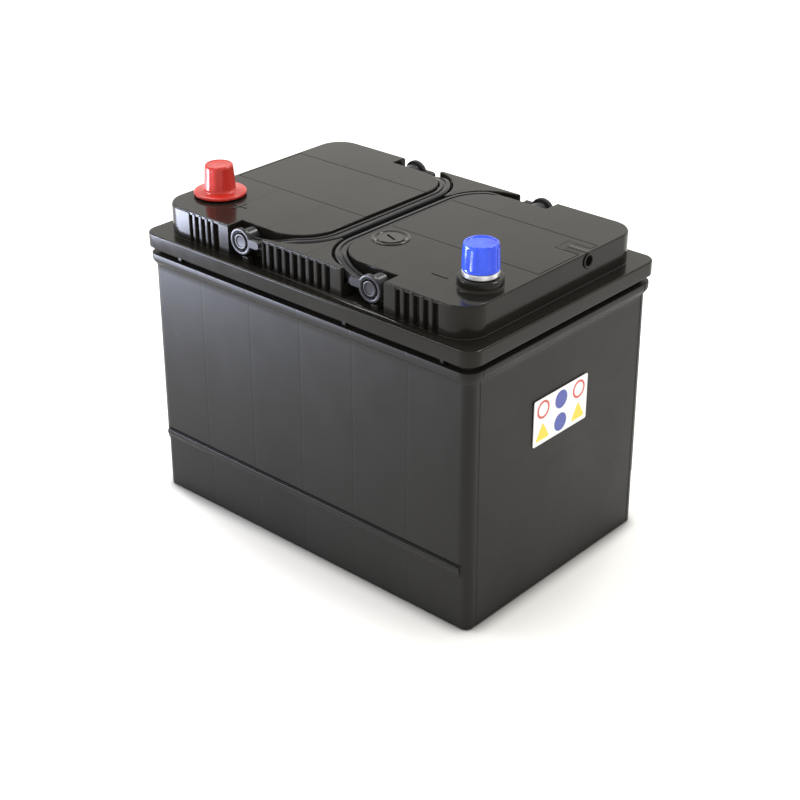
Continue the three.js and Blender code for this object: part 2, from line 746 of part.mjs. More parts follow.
function bush(x, size) {
  const flange = DECK_TOP + size.collarHeight + GAP;
  const foot = BOSS_BOTTOM - GAP;
  const profile = [
    [BUSH_BORE, foot - 3],
    [RETAINER_RADIUS, foot - 3],
    [RETAINER_RADIUS, foot],
    [size.bodyRadius, foot],
    [size.bodyRadius, flange],
    [size.flangeRadius, flange],
    [size.flangeRadius, flange + size.flangeHeight],
    [size.coneBase, flange + size.flangeHeight],
    [size.coneTop, size.top],
    [BUSH_BORE, size.top],
    [BUSH_BORE, foot - 3],
  ];
  return turned(profile, [x, TERMINAL_Y], 24);
}

function post(x, size) {
  const profile = [
    [0, STRAP_TOP + GAP],
    [7, STRAP_TOP + GAP],
    [7, STRAP_TOP + 4],
    [POST_RADIUS, STRAP_TOP + 8],
    [POST_RADIUS, size.top - 0.2],
    [0, size.top - 0.2],
  ];
  return turned(profile, [x, TERMINAL_Y], 18);
}

// The red cap has a wide brim that lies over the collar.
function positiveCap() {
  const brim = DECK_TOP + POSITIVE.collarHeight + 0.5;
  const under = POSITIVE.top + 1.2;
  const top = under + CAP_WALL;
  const profile = [
    [0, under],
    [7.8, under],
    [8.8, brim],
    [16.1, brim],
    [16.2, brim + 1.3],
    [15.2, brim + 2],
    [10.2, brim + 2.5],
    [9.7, brim + 3.2],
    [8.85, top - 1.2],
    [8.1, top],
    [0, top],
  ];
  return turned(profile, [-TERMINAL_X, TERMINAL_Y], 24);
}

// The blue cap is a plain cup that stands on the bush's flange.
function negativeCap() {
  const rim = DECK_TOP + NEGATIVE.collarHeight + NEGATIVE.flangeHeight + 2 * GAP;
  const under = NEGATIVE.top + 0.9;
  const top = under + CAP_WALL;
  const profile = [
    [0, under],
    [8.7, under],
    [9.4, rim],
    [10.4, rim],
    [9.75, top - 1],
    [9.1, top],
    [0, top],
  ];
  return turned(profile, [TERMINAL_X, TERMINAL_Y], 24);
}

// ---------------------------------------------------------------- charge indicator

const INDICATOR = [INDICATOR_X, INDICATOR_Y];

function indicatorPlug() {
  const under = DECK_TOP + GAP;
  const profile = [
    [0, PLUG_BOTTOM],
    [PLUG_RADIUS, PLUG_BOTTOM],
    [PLUG_RADIUS, under],
    [PLUG_FLANGE, under],
    [PLUG_FLANGE, under + 0.7],
    [9.6, under + 1.7],
    [7.9, under + 1.5],
    [7.6, under + 0.9],
    [0, under + 0.9],
  ];
  const plug = turned(profile, INDICATOR);
  const slot = new THREE.BoxGeometry(9, 1.5, 3);
  slot.rotateZ(-0.25);
  slot.translate(INDICATOR_X, INDICATOR_Y, under + 1.3);
  return cut(plug, solid(slot));
}

function indicatorSeal() {
  const ring = new THREE.TorusGeometry(8.95, 0.75, 6, 24);
  ring.translate(INDICATOR_X, INDICATOR_Y, DECK_TOP - 1);
  return solid(ring);
}

function indicatorRod() {
  const tip = CAGE_TOP - 2.6;
  const profile = [
    [0, tip],
    [2.6, tip + 2],
    [2.6, PLUG_BOTTOM - GAP],
    [0, PLUG_BOTTOM - GAP],
  ];
  return turned(profile, INDICATOR, 12);
}

function floatCage() {
  const profile = [
    [0, CAGE_BOTTOM],
    [4.4, CAGE_BOTTOM],
    [4.4, CAGE_TOP],
    [3.2, CAGE_TOP],
    [3.2, CAGE_BOTTOM + 1.2],
    [0, CAGE_BOTTOM + 1.2],
  ];
  return turned(profile, INDICATOR, 16);
}

function floatBall() {
  const ball = new THREE.SphereGeometry(BALL_RADIUS, 12, 8);
  ball.translate(INDICATOR_X, INDICATOR_Y, CAGE_BOTTOM + 1.2 + BALL_RADIUS + GAP);
  return solid(ball);
}

// ---------------------------------------------------------------- vent and label

function ventPort() {
  const wall = DECK_LENGTH / 2;
  const flange = wall + GAP - VENT_START;
  const end = flange + VENT_FLANGE_THICKNESS;
  const profile = [
    [VENT_BORE, 0],
    [VENT_TUBE, 0],
    [VENT_TUBE, flange],
    [VENT_FLANGE, flange],
    [VENT_FLANGE, end],
    [VENT_BORE + 0.3, end],
    [VENT_BORE, end - 0.3],
    [VENT_BORE, 0],
  ];
  return turnedAlong(ALONG_X, profile, [VENT_START, VENT_Y, VENT_Z], 20);
}

function flameArrestor() {
  return rod(ALONG_X, VENT_BORE - GAP, [VENT_START + 1, VENT_Y, VENT_Z], 3, 20);
}

function sideLabel() {
  const wall = LENGTH / 2 - wallInset(LABEL_Z[0]);
  return box([wall + GAP, wall + GAP + LABEL_THICKNESS], LABEL_Y, LABEL_Z);
}

// ---------------------------------------------------------------- plates

// Plates of one polarity in one cell, joined by their lugs and cast strap.
// A riser at one end of the strap meets the link through the cell wall.
function plateGroup(cell, offsets, thickness, lugY, riserSide) {
  const centre = cellX(cell);
  const span = (middle, half) => [middle - half, middle + half];
  let body = box(span(centre, STRAP_HALF_LENGTH), span(lugY, 8), [STRAP_BOTTOM, STRAP_TOP]);
  for (const offset of offsets) {
    const x = span(centre + offset * PLATE_STEP, thickness / 2);
    const plate = box(x, [-PLATE_HALF_WIDTH, PLATE_HALF_WIDTH], [PLATE_BOTTOM, PLATE_TOP]);
    const lug = box(x, span(lugY, 6), [PLATE_TOP - 1, STRAP_BOTTOM + 1]);
    body = join(body, plate, lug);
  }
  if (riserSide === 0) return body;
  const end = centre + riserSide * STRAP_HALF_LENGTH;
  const x = ordered(end, end - riserSide * RISER_THICKNESS);
  return join(body, box(x, span(lugY, 7), [STRAP_TOP - 1, RISER_TOP]));
}

// One sheet folded to and fro between the plates of a cell, drawn in plan and raised.
function separator(cell) {
  const half = SEPARATOR_THICKNESS / 2;
  const between = PLATE_STEP / 2 + (POSITIVE_THICKNESS - NEGATIVE_THICKNESS) / 4;
  const edge = PLATE_HALF_WIDTH + 3;
  const sheets = POSITIVE_PLATES.flatMap((plate) => [
    cellX(cell) + plate * PLATE_STEP - between,
    cellX(cell) + plate * PLATE_STEP + between,
  ]);
  const left = [];
  const right = [];
  sheets.forEach((x, i) => {
    const way = i % 2 === 0 ? 1 : -1;
    left.push([x - way * half, -way * edge + half], [x - way * half, way * edge + half]);
    right.push([x + way * half, -way * edge - half], [x + way * half, way * edge - half]);
  });
  const shape = new THREE.Shape();
  shape.setFromPoints([...left, ...right.reverse()].map(([x, y]) => new THREE.Vector2(x, y)));
  return solid(prism(shape, PLATE_BOTTOM, SEPARATOR_TOP));
}

function cellLink(wall) {
  const length = CELL_PITCH - 2 * STRAP_HALF_LENGTH - 2 * GAP;
  const from = [wallX(wall) - length / 2, negativeY(wall), LINK_Z];
  return rod(ALONG_X, LINK_RADIUS, from, length, 16);
}

// ---------------------------------------------------------------- assembly

const battery = new THREE.Group();
const add = (name, body, look) => battery.add(piece(name, body, look));

add("container", container(), MATERIALS.blackPlastic);
add("lid", lid(), MATERIALS.blackPlastic);
add("left_cover_panel", coverPanel(-1), MATERIALS.blackPlastic);
add("right_cover_panel", coverPanel(1), MATERIALS.blackPlastic);

for (const [sideName, side] of [
  ["left", -1],
  ["right", 1],
]) {
  add(sideName + "_handle", handle(side), MATERIALS.handlePlastic);
  add(sideName + "_front_pivot_pin", pivotPin(side, -1), MATERIALS.handlePlastic);
  add(sideName + "_rear_pivot_pin", pivotPin(side, 1), MATERIALS.handlePlastic);
}

add("positive_bush", bush(-TERMINAL_X, POSITIVE), MATERIALS.lead);
add("negative_bush", bush(TERMINAL_X, NEGATIVE), MATERIALS.lead);
add("positive_post", post(-TERMINAL_X, POSITIVE), MATERIALS.lead);
add("negative_post", post(TERMINAL_X, NEGATIVE), MATERIALS.lead);
add("positive_cap", positiveCap(), MATERIALS.redPlastic);
add("negative_cap", negativeCap(), MATERIALS.bluePlastic);

add("indicator_plug", indicatorPlug(), MATERIALS.blackPlastic);
add("indicator_seal", indicatorSeal(), MATERIALS.rubber);
add("indicator_rod", indicatorRod(), MATERIALS.clearPlastic);
add("float_cage", floatCage(), MATERIALS.clearPlastic);
add("float_ball", floatBall(), MATERIALS.greenPlastic);

add("vent_port", ventPort(), MATERIALS.blackPlastic);
add("flame_arrestor", flameArrestor(), MATERIALS.porousDisc);
add("side_label", sideLabel(), MATERIALS.labelFilm);

for (let cell = 1; cell <= CELLS; cell++) {
  const positiveRiser = cell > 1 ? -1 : 0;
  const negativeRiser = cell < CELLS ? 1 : 0;
  add(
    "positive_group_" + cell,
    plateGroup(cell, POSITIVE_PLATES, POSITIVE_THICKNESS, positiveY(cell), positiveRiser),
    MATERIALS.positivePaste,
  );
  add(
    "negative_group_" + cell,
    plateGroup(cell, NEGATIVE_PLATES, NEGATIVE_THICKNESS, negativeY(cell), negativeRiser),
    MATERIALS.negativePaste,
  );
  add("separator_" + cell, separator(cell), MATERIALS.separator);
}
for (let wall = 1; wall < CELLS; wall++) add("cell_link_" + wall, cellLink(wall), MATERIALS.lead);

export default battery;
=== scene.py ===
"""Deep cycle battery: the visual model, its materials, lights and camera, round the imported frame.
Lengths are in millimetres until a mesh is made, and in metres after that."""

import math

import bmesh
import bpy
from mathutils import Matrix, Vector


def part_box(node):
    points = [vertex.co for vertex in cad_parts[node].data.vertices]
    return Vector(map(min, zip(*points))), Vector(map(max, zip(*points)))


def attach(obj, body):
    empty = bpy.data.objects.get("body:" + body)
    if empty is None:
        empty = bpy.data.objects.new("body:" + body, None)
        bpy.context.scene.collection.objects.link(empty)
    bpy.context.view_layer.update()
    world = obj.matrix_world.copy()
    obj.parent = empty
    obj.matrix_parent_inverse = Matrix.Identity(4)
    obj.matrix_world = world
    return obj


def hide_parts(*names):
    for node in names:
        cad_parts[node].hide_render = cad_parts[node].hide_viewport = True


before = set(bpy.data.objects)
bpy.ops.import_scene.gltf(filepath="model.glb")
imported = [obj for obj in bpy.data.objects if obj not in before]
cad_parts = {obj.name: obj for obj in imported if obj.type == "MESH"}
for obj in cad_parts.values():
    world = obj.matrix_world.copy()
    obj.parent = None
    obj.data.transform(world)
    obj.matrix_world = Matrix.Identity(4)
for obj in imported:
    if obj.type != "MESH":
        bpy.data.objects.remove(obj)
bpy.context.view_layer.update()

MM = 0.001

# ------------------------------------------------------------------ dimensions, in millimetres

# The case, and the lid's skirt
HALF_LENGTH = 130.0
HALF_WIDTH = 86.5
SKIRT_BOTTOM, SKIRT_TOP = 169.8, 179.0
SKIRT_WALL = 3.2
NECK_TOP = 172.0
SHOULDER_TOP, SHOULDER_BOTTOM = 165.6, 157.6
CASE_CORNER, LOWER_CORNER, SKIRT_CORNER = 9.5, 7.5, 9.0
CASE_INSET, FOOT_GROWTH = 3.6, 1.2
CAVITY_INSET = 7.0
NECK_INSET = 5.4
CASE_FLOOR = 3.5
CELL_WALL = 2.2
CELL_PITCH = (2 * HALF_LENGTH - 2 * CAVITY_INSET + CELL_WALL) / 6
LINK_RADIUS, LINK_Y, LINK_Z = 5.3, 46.0, 149.0
LEDGE_TOP, LEDGE_BOTTOM, LEDGE_END = 42.7, 36.7, 122.5
LEDGE_FOOT = 36.0  # the wall under a ledge is as far in as the wall at this height
LOWER_WALL_RECESS = 1.9
SINK_LINE = (1.3, 0.13)  # half the width and the depth of a groove in the case's walls
STEP_Y, STEP_LINE = 75.2, (0.5, 0.25)  # the same for the lines near the corners of the ends
TAB_PLACES, TAB_HALF_WIDTH = (-101, 35.5, 107), 1.2

# The lid's deck, its channels and recesses for the handles, and its cover panels
DECK_X, DECK_Y, DECK_TOP = 120.5, 78.5, 198.2
DECK_CORNER = 16.0
BLOCK_TOP = 196.9
CHANNEL_FLOOR = 186.0
TURN_X, TURN_Y, TURN_INNER, TURN_OUTER = 34.8, 42.0, 24.6, 34.0
RECESS_NEAR, RECESS_NEAR_WIDE, RECESS_FAR, RECESS_BACK = 32.3, 29.5, 61.5, 66.6
FLUTE_DEPTH, FLUTE_SLOPE, FLUTE_ROUND = 2.6, 0.35, 0.7
RIM_SETBACK, RIM_DROP = 0.5, 0.7
PANEL_FRONT, PANEL_BACK, PANEL_END = -15.0, 39.5, 118.0
PANEL_START, PANEL_GAP = TURN_X - TURN_INNER + 0.3, 0.3
CELL_LINES = (41.5, 81.0)  # where the deck shows the walls between the cells

# The handles and their pins
PIVOT_X, PIVOT_Z = 51.0, 190.7
RING_RADIUS, RING_FACE = 8.25, 78.8
BAR_RADIUS, BAR_WIDTH, BAR_HEIGHT, BAR_TOP = 28.8, 7.2, 5.5, 197.2
BAR_TURN, BAR_END = 1.326, 57  # angle of a turn in radians; length from the grip's end to the ring
BAR_DROP, DROP_START, DROP_END = 3.8, 25.0, 48.5  # how far an arm comes down, and between which lengths
BAR_TIP, BAR_MIDDLE = 0.82, 2.2  # scale of the bar's ends, and the height it is scaled about
PIN_BORE, PIN_END = 4.3, 61.5

# The terminals, the indicator, the vent and the label
TERMINAL_X, TERMINAL_Y = 102.5, -46.0
BOSS_FOOT, LOW_BOSS, HIGH_BOSS = 184, DECK_TOP + 0.6, DECK_TOP + 5.4
POSITIVE_HOLE, NEGATIVE_HOLE = 7.7, 8.7
POSITIVE_NECK, NEGATIVE_NECK = 7.4, 8.4
BUSH_BORE, BUSH_BOTTOM, BUSH_FLANGE, FLANGE_TOP = 5.2, 177.7, 10.8, 180.7
POSITIVE_BUSH_TOP, NEGATIVE_BUSH_TOP = 215.6, 220.9
POSITIVE_CAP_TOP, NEGATIVE_CAP_TOP = 217.8, 222.8
INDICATOR = (23.0, -29.6)
INDICATOR_BOTTOM = 183
SLOT_HALF_LENGTH, SLOT_HALF_WIDTH, SLOT_TURN = 4.6, 0.75, -20
VENT_Y, VENT_Z, VENT_START = 27.9, 193.3, 102.0
VENT_HOLE, VENT_BORE, VENT_TUBE, VENT_FLANGE, VENT_RIDGE = 4.1, 3, 3.8, 4.5, 106
LABEL_CORNER, SIGN_RADIUS, SIGN_HOLE, SIGN_CORNER = 1.2, 5.7, 4.3, 0.9
INK, INK_ROOM = 0.09, 0.1  # the signs stand on a sheet that is thinner than its CAD node
QUARTERS = [(-1, -1), (-1, 1), (1, -1), (1, 1)]  # signs of X and Y at the four pivots

# ------------------------------------------------------------------ meshes


def finish_mesh(name, bm, material, body="case", replaces=(), smooth=32):
    """Turns a bmesh in millimetres into an object that rides on a body and stands for CAD nodes.
    Edges that turn by more than smooth degrees stay sharp."""
    bmesh.ops.recalc_face_normals(bm, faces=bm.faces[:])
    bmesh.ops.scale(bm, vec=(MM, MM, MM), verts=bm.verts[:])
    mesh = bpy.data.meshes.new(name)
    bm.to_mesh(mesh)
    bm.free()
    for polygon in mesh.polygons:
        polygon.use_smooth = True
    mesh.set_sharp_from_angle(angle=math.radians(smooth))
    mesh.materials.append(material)
    piece = bpy.data.objects.new(name, mesh)
    bpy.context.scene.collection.objects.link(piece)
    weighted = piece.modifiers.new("weighted", "WEIGHTED_NORMAL")
    weighted.keep_sharp = True
    weighted.weight = 100
    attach(piece, body)
    if replaces:
        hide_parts(*replaces)


def tool(bm):
    """A bmesh in millimetres as a temporary object for a boolean."""
    bmesh.ops.recalc_face_normals(bm, faces=bm.faces[:])
    mesh = bpy.data.meshes.new("tool")
    bm.to_mesh(mesh)
    bm.free()
    piece = bpy.data.objects.new("tool", mesh)
    bpy.context.scene.collection.objects.link(piece)
    return piece


def boolean(bm, tools, operation):
    """Joins (UNION) or cuts (DIFFERENCE) a bmesh with several others, and returns a new bmesh."""
    target = tool(bm)
    others = [tool(other) for other in tools]
    folder = bpy.data.collections.new("tools")
    for other in others:
        folder.objects.link(other)
    modifier = target.modifiers.new("boolean", "BOOLEAN")
    modifier.operation = operation
    modifier.operand_type = "COLLECTION"
    modifier.collection = folder
    modifier.solver = "EXACT"
    graph = bpy.context.evaluated_depsgraph_get()
    result = bmesh.new()
    result.from_mesh(target.evaluated_get(graph).to_mesh())
    for other in [target, *others]:
        bpy.data.objects.remove(other)
    bpy.data.collections.remove(folder)
    bmesh.ops.remove_doubles(result, verts=result.verts[:], dist=1e-3)
    return result


def join(first, *others):
    """The first bmesh with the others added."""
    return boolean(first, others, "UNION")


def cut(first, *others):
    """The first bmesh with the others taken away."""
    return boolean(first, others, "DIFFERENCE")


def loft(rings):
    """A skin over rings of equally many points. The first and last ring are capped."""
    bm = bmesh.new()
    rows = [[bm.verts.new(point) for point in ring] for ring in rings]
    count = len(rows[0])
    for low, high in zip(rows, rows[1:]):
        for i in range(count):
            bm.faces.new((low[i], low[(i + 1) % count], high[(i + 1) % count], high[i]))
    bm.faces.new(list(reversed(rows[0])))
    bm.faces.new(rows[-1])
    return bm


def arc(x, y, radius, start, end, steps=8):
    """Points on an arc, angles in degrees."""
    points = []
    for i in range(steps + 1):
        angle = math.radians(start + (end - start) * i / steps)
        points.append((x + radius * math.cos(angle), y + radius * math.sin(angle)))
    return points


def rounded_rectangle(half_x, half_y, radius, steps):
    """Outline about the origin, counter-clockwise."""
    x, y = half_x - radius, half_y - radius
    points = []
    for turn, (cx, cy) in enumerate([(x, y), (-x, y), (-x, -y), (x, -y)]):
        points += arc(cx, cy, radius, 90 * turn, 90 * turn + 90, steps)
    return points


def inset(points, distance):
    """A counter-clockwise outline moved inward."""
    if not distance:
        return list(points)
    moved = []
    count = len(points)
    for i, point in enumerate(points):
        here = Vector(point)
        before = here - Vector(points[i - 1])
        after = Vector(points[(i + 1) % count]) - here
        if before.length < 1e-6:
            before = after
        if after.length < 1e-6:
            after = before
        before.normalize()
        after.normalize()
        normal = Vector((-before.y - after.y, before.x + after.x))
        spread = max(1 + before.dot(after), 0.5)
        moved.append(tuple(here + normal * (distance / spread)))
    return moved


def block(outline, levels):
    """An outline raised through levels of (z, inset)."""
    return loft([[(x, y, z) for x, y in inset(outline, amount)] for z, amount in levels])


def rounded_top(z, radius, steps):
    """Levels of (z, inset) round a top edge."""
    levels = []
    for i in range(steps + 1):
        angle = math.radians(90 * i / steps)
        levels.append((z - radius + radius * math.sin(angle), radius - radius * math.cos(angle)))
    return levels


def rectangle(x, y):
    """Outline from two (low, high) pairs, counter-clockwise."""
    return [(x[0], y[0]), (x[1], y[0]), (x[1], y[1]), (x[0], y[1])]


def box(x, y, z, edge=0.0):
    """A block from three (low, high) pairs. Its vertical edges and top can be rounded."""
    if not edge:
        return block(rectangle(x, y), [(z[0], 0), (z[1], 0)])
    half_x, half_y = (x[1] - x[0]) / 2, (y[1] - y[0]) / 2
    middle = ((x[0] + x[1]) / 2, (y[0] + y[1]) / 2)
    outline = [(middle[0] + u, middle[1] + v) for u, v in rounded_rectangle(half_x, half_y, edge, 3)]
    return block(outline, [(z[0], 0), *rounded_top(z[1], edge * 0.8, 3)])


def lathe(profile, segments=64, wave=0.0, waves=0, wave_from=0.0, wave_to=0.0):
    """A body turned about Z. The profile lists (radius, z), from the axis or closed on itself.
    Between two heights its radius can ripple round the axis."""
    bm = bmesh.new()
    rows = []
    for radius, z in profile:
        if radius < 1e-6:
            rows.append([bm.verts.new((0, 0, z))])
            continue
        row = []
        for i in range(segments):
            angle = 2 * math.pi * i / segments
            ripple = wave * math.cos(waves * angle) if wave_from <= z <= wave_to else 0
            reach = radius + ripple
            row.append(bm.verts.new((reach * math.cos(angle), reach * math.sin(angle), z)))
        rows.append(row)
    pairs = list(zip(rows, rows[1:]))
    if len(rows[0]) > 1:
        pairs.append((rows[-1], rows[0]))
    for low, high in pairs:
        for i in range(segments):
            j = (i + 1) % segments
            if len(low) == 1:
                bm.faces.new((low[0], high[j], high[i]))
            elif len(high) == 1:
                bm.faces.new((low[i], low[j], high[0]))
            else:
                bm.faces.new((low[i], low[j], high[j], high[i]))
    return bm


def placed(bm, x=0.0, y=0.0, z=0.0, turn=None):
    """Moves a bmesh, after turning it by a matrix."""
    if turn is not None:
        bmesh.ops.transform(bm, matrix=turn, verts=bm.verts[:])
    bmesh.ops.translate(bm, vec=(x, y, z), verts=bm.verts[:])
    return bm


def along_y(side):
    """Turns +Z to +Y or -Y."""
    return Matrix.Rotation(math.radians(-90 * side), 4, "X")


ALONG_X = Matrix.Rotation(math.radians(90), 4, "Y")


def cylinder(radius, z0, z1, segments=48):
    """A plain cylinder about Z, for holes."""
    return lathe([(0, z0), (radius, z0), (radius, z1), (0, z1)], segments)


# ------------------------------------------------------------------ materials


class Nodes:
    """A short way to write a material's nodes."""

    def __init__(self, name):
        self.material = bpy.data.materials.new(name)
        self.material.use_nodes = True
        self.tree = self.material.node_tree
        self.tree.nodes.clear()
        self.shader = self.add("ShaderNodeBsdfPrincipled")
        output = self.add("ShaderNodeOutputMaterial")
        self.link(self.shader.outputs["BSDF"], output.inputs["Surface"])
        self.place = self.add("ShaderNodeTexCoord").outputs["Object"]

    def add(self, kind, **settings):
        node = self.tree.nodes.new(kind)
        for key, value in settings.items():
            setattr(node, key, value)
        return node

    def link(self, out, into):
        self.tree.links.new(out, into)

    def stretch(self, x, y, z):
        mapping = self.add("ShaderNodeMapping")
        mapping.inputs["Scale"].default_value = (x, y, z)
        self.link(self.place, mapping.inputs["Vector"])
        return mapping.outputs["Vector"]

    def noise(self, scale, detail=3.0, rough=0.5, at=None):
        node = self.add("ShaderNodeTexNoise")
        node.inputs["Scale"].default_value = scale
        node.inputs["Detail"].default_value = detail
        node.inputs["Roughness"].default_value = rough
        self.link(at or self.place, node.inputs["Vector"])
        return node.outputs["Fac"]

    def span(self, value, low, high, from_low=0.3, from_high=0.7):
        """Maps a value from one range, by default the middle of a noise's, to low..high."""
        node = self.add("ShaderNodeMapRange")
        node.inputs["From Min"].default_value = from_low
        node.inputs["From Max"].default_value = from_high
        node.inputs["To Min"].default_value = low
        node.inputs["To Max"].default_value = high
        self.link(value, node.inputs["Value"])
        return node.outputs["Result"]

    def mix(self, share, first, second):
        node = self.add("ShaderNodeMix", data_type="RGBA")
        self.link(share, node.inputs["Factor"])
        for value, socket in ((first, node.inputs[6]), (second, node.inputs[7])):
            if isinstance(value, tuple):
                socket.default_value = (*value, 1)
            else:
                self.link(value, socket)
        return node.outputs[2]

    def combine(self, operation, first, second):
        node = self.add("ShaderNodeMath", operation=operation)
        self.link(first, node.inputs[0])
        self.link(second, node.inputs[1])
        return node.outputs[0]

    def bump(self, height, distance, normal=None):
        node = self.add("ShaderNodeBump")
        node.inputs["Strength"].default_value = 1
        node.inputs["Distance"].default_value = distance
        self.link(height, node.inputs["Height"])
        if normal is not None:
            self.link(normal, node.inputs["Normal"])
        return node.outputs["Normal"]

    def to(self, **sockets):
        """Gives the shader's sockets a number or another node's output."""
        for name, value in sockets.items():
            socket = self.shader.inputs[name.replace("_", " ")]
            if isinstance(value, (int, float)):
                socket.default_value = value
            else:
                self.link(value, socket)


def black_plastic(name, dark, light, rough, grain, ior, waviness=0.0):
    """Glossy moulded polypropylene: faint flow marks, dull patches, hairline scuffs and a little dust."""
    m = Nodes(name)
    flow = m.noise(14, 4, 0.55, m.stretch(1, 1, 0.4))
    patches = m.noise(45, 5, 0.6)
    scuffs = m.noise(190, 2, 0.5, m.stretch(1, 0.06, 1))
    dust = m.noise(900, 2, 0.7)
    colour = m.mix(m.span(flow, 0, 1), dark, light)
    dusty = m.span(dust, 0, 0.25, 0.62, 0.8)
    colour = m.mix(dusty, colour, tuple(3 * c + 0.01 for c in light))
    sheen = m.combine("ADD", m.span(patches, *rough), m.span(scuffs, 0, 0.06, 0.6, 0.75))
    m.to(Base_Color=colour, Roughness=sheen, IOR=ior)
    normal = m.bump(m.noise(2600, 2, 0.5), grain * MM)
    if waviness:
        normal = m.bump(m.noise(22, 1.5, 0.4), waviness * MM, normal)
    m.to(Normal=normal)
    return m.material


def cap_plastic(name, deep, bright, rough):
    """Soft glossy plastic: blotches, paler upright streaks, slight translucence, fine mould marks."""
    m = Nodes(name)
    blotch = m.noise(60, 3, 0.5)
    streak = m.noise(220, 2, 0.5, m.stretch(1, 1, 0.12))
    colour = m.mix(m.span(blotch, 0, 1), deep, bright)
    pale = tuple(min(1, 1.25 * c + 0.02) for c in bright)
    colour = m.mix(m.span(streak, 0, 0.35, 0.45, 0.75), colour, pale)
    m.to(Base_Color=colour, Roughness=m.span(m.noise(120, 3), *rough), IOR=1.42)
    m.shader.inputs["Subsurface Weight"].default_value = 0.12
    m.shader.inputs["Subsurface Radius"].default_value = (0.004, 0.002, 0.004)
    m.shader.inputs["Subsurface Scale"].default_value = 0.3
    m.to(Normal=m.bump(m.noise(1500, 2), 0.012 * MM))
    return m.material


def metal(name, dull, bright, rough, rings):
    """Cast and turned lead alloy with dull oxide patches and fine turning rings."""
    m = Nodes(name)
    oxide = m.noise(90, 5, 0.65)
    grain = m.noise(1400, 3, 0.6)
    colour = m.mix(m.span(oxide, 0, 1, 0.4, 0.65), bright, dull)
    m.to(Base_Color=colour, Metallic=m.span(oxide, 1.0, 0.75), Roughness=m.span(oxide, *rough))
    turned = m.noise(1, 2, 0.5, m.stretch(40, 40, 2600))
    m.to(Normal=m.bump(turned, rings * MM, m.bump(grain, 0.03 * MM)))
    return m.material


def granular(name, first, second, rough, size, depth, scale=None):
    """Pasted plates, porous discs, separator sheet: a mottled, grainy, mostly matt surface."""
    m = Nodes(name)
    at = m.stretch(*scale) if scale else None
    blotch = m.noise(35, 5, 0.6)
    grain = m.noise(size, 4, 0.6, at)
    share = m.combine("MULTIPLY", m.span(blotch, 0, 1), m.span(grain, 0.5, 1.3))
    colour = m.mix(share, first, second)
    m.to(Base_Color=colour, Roughness=m.span(grain, *rough), Normal=m.bump(grain, depth * MM))
    return m.material


def printed_film(name, colour, tint):
    """Printed label film: even ink with slight print grain and a satin varnish."""
    m = Nodes(name)
    ink = m.noise(1800, 3, 0.6)
    haze = m.noise(70, 3, 0.5)
    share = m.combine("MULTIPLY", m.span(ink, 0.2, 1), m.span(haze, 0.4, 1))
    shade = m.mix(share, colour, tint)
    m.to(Base_Color=shade, Roughness=m.span(haze, 0.28, 0.42), Normal=m.bump(ink, 0.004 * MM))
    return m.material


def clear_plastic(name):
    """Clear acrylic with a faint haze."""
    m = Nodes(name)
    haze = m.noise(160, 3, 0.5)
    m.to(Base_Color=m.mix(m.span(haze, 0, 1), (0.86, 0.92, 0.94), (0.78, 0.86, 0.88)))
    m.to(Roughness=m.span(haze, 0.03, 0.15), IOR=1.49)
    m.shader.inputs["Transmission Weight"].default_value = 0.85
    m.to(Normal=m.bump(haze, 0.02 * MM))
    return m.material


CASE = black_plastic(
    "case_plastic",
    dark=(0.009, 0.0088, 0.0082),
    light=(0.014, 0.0135, 0.012),
    rough=(0.33, 0.41),
    grain=0.006,
    waviness=0.2,
    ior=1.26,
)
LID = black_plastic(
    "lid_plastic",
    dark=(0.0085, 0.008, 0.0068),
    light=(0.013, 0.0124, 0.0106),
    rough=(0.12, 0.18),
    grain=0.003,
    waviness=0.05,
    ior=1.25,
)
PLUG = black_plastic(
    "plug_plastic",
    dark=(0.008, 0.0075, 0.0065),
    light=(0.012, 0.0114, 0.0098),
    rough=(0.06, 0.1),
    grain=0.002,
    ior=1.4,
)
HANDLE = black_plastic(
    "handle_plastic",
    dark=(0.012, 0.012, 0.013),
    light=(0.02, 0.02, 0.023),
    rough=(0.2, 0.3),
    grain=0.005,
    ior=1.27,
)
RED = cap_plastic("red_cap_plastic", (0.36, 0.012, 0.008), (0.44, 0.02, 0.014), (0.16, 0.26))
BLUE = cap_plastic("blue_cap_plastic", (0.012, 0.045, 0.62), (0.03, 0.1, 0.8), (0.14, 0.24))
LEAD = metal("lead_alloy", (0.35, 0.36, 0.39), (0.75, 0.76, 0.79), (0.25, 0.5), 0.02)
POSITIVE_PASTE = granular(
    "positive_paste", (0.045, 0.018, 0.01), (0.12, 0.05, 0.028), (0.75, 0.95), 700, 0.12
)
NEGATIVE_PASTE = granular("negative_paste", (0.12, 0.13, 0.14), (0.28, 0.29, 0.3), (0.6, 0.85), 700, 0.1)
SEPARATOR = granular(
    "separator_sheet", (0.72, 0.69, 0.6), (0.85, 0.83, 0.76), (0.8, 0.95), 1200, 0.05, (1, 1, 0.2)
)
DISC = granular("porous_disc", (0.5, 0.47, 0.4), (0.75, 0.72, 0.65), (0.85, 0.98), 2500, 0.1)
RUBBER = granular("seal_rubber", (0.008, 0.008, 0.008), (0.02, 0.02, 0.02), (0.6, 0.85), 2000, 0.03)
BALL = cap_plastic("green_ball_plastic", (0.015, 0.28, 0.05), (0.04, 0.42, 0.09), (0.25, 0.35))
CLEAR = clear_plastic("clear_plastic")
PAPER = printed_film("label_white", (0.82, 0.82, 0.81), (0.74, 0.74, 0.75))
PRINT_RED = printed_film("label_red", (0.62, 0.08, 0.06), (0.5, 0.06, 0.05))
PRINT_BLUE = printed_film("label_blue", (0.055, 0.08, 0.36), (0.045, 0.06, 0.28))
PRINT_YELLOW = printed_film("label_yellow", (0.78, 0.62, 0.04), (0.68, 0.54, 0.04))

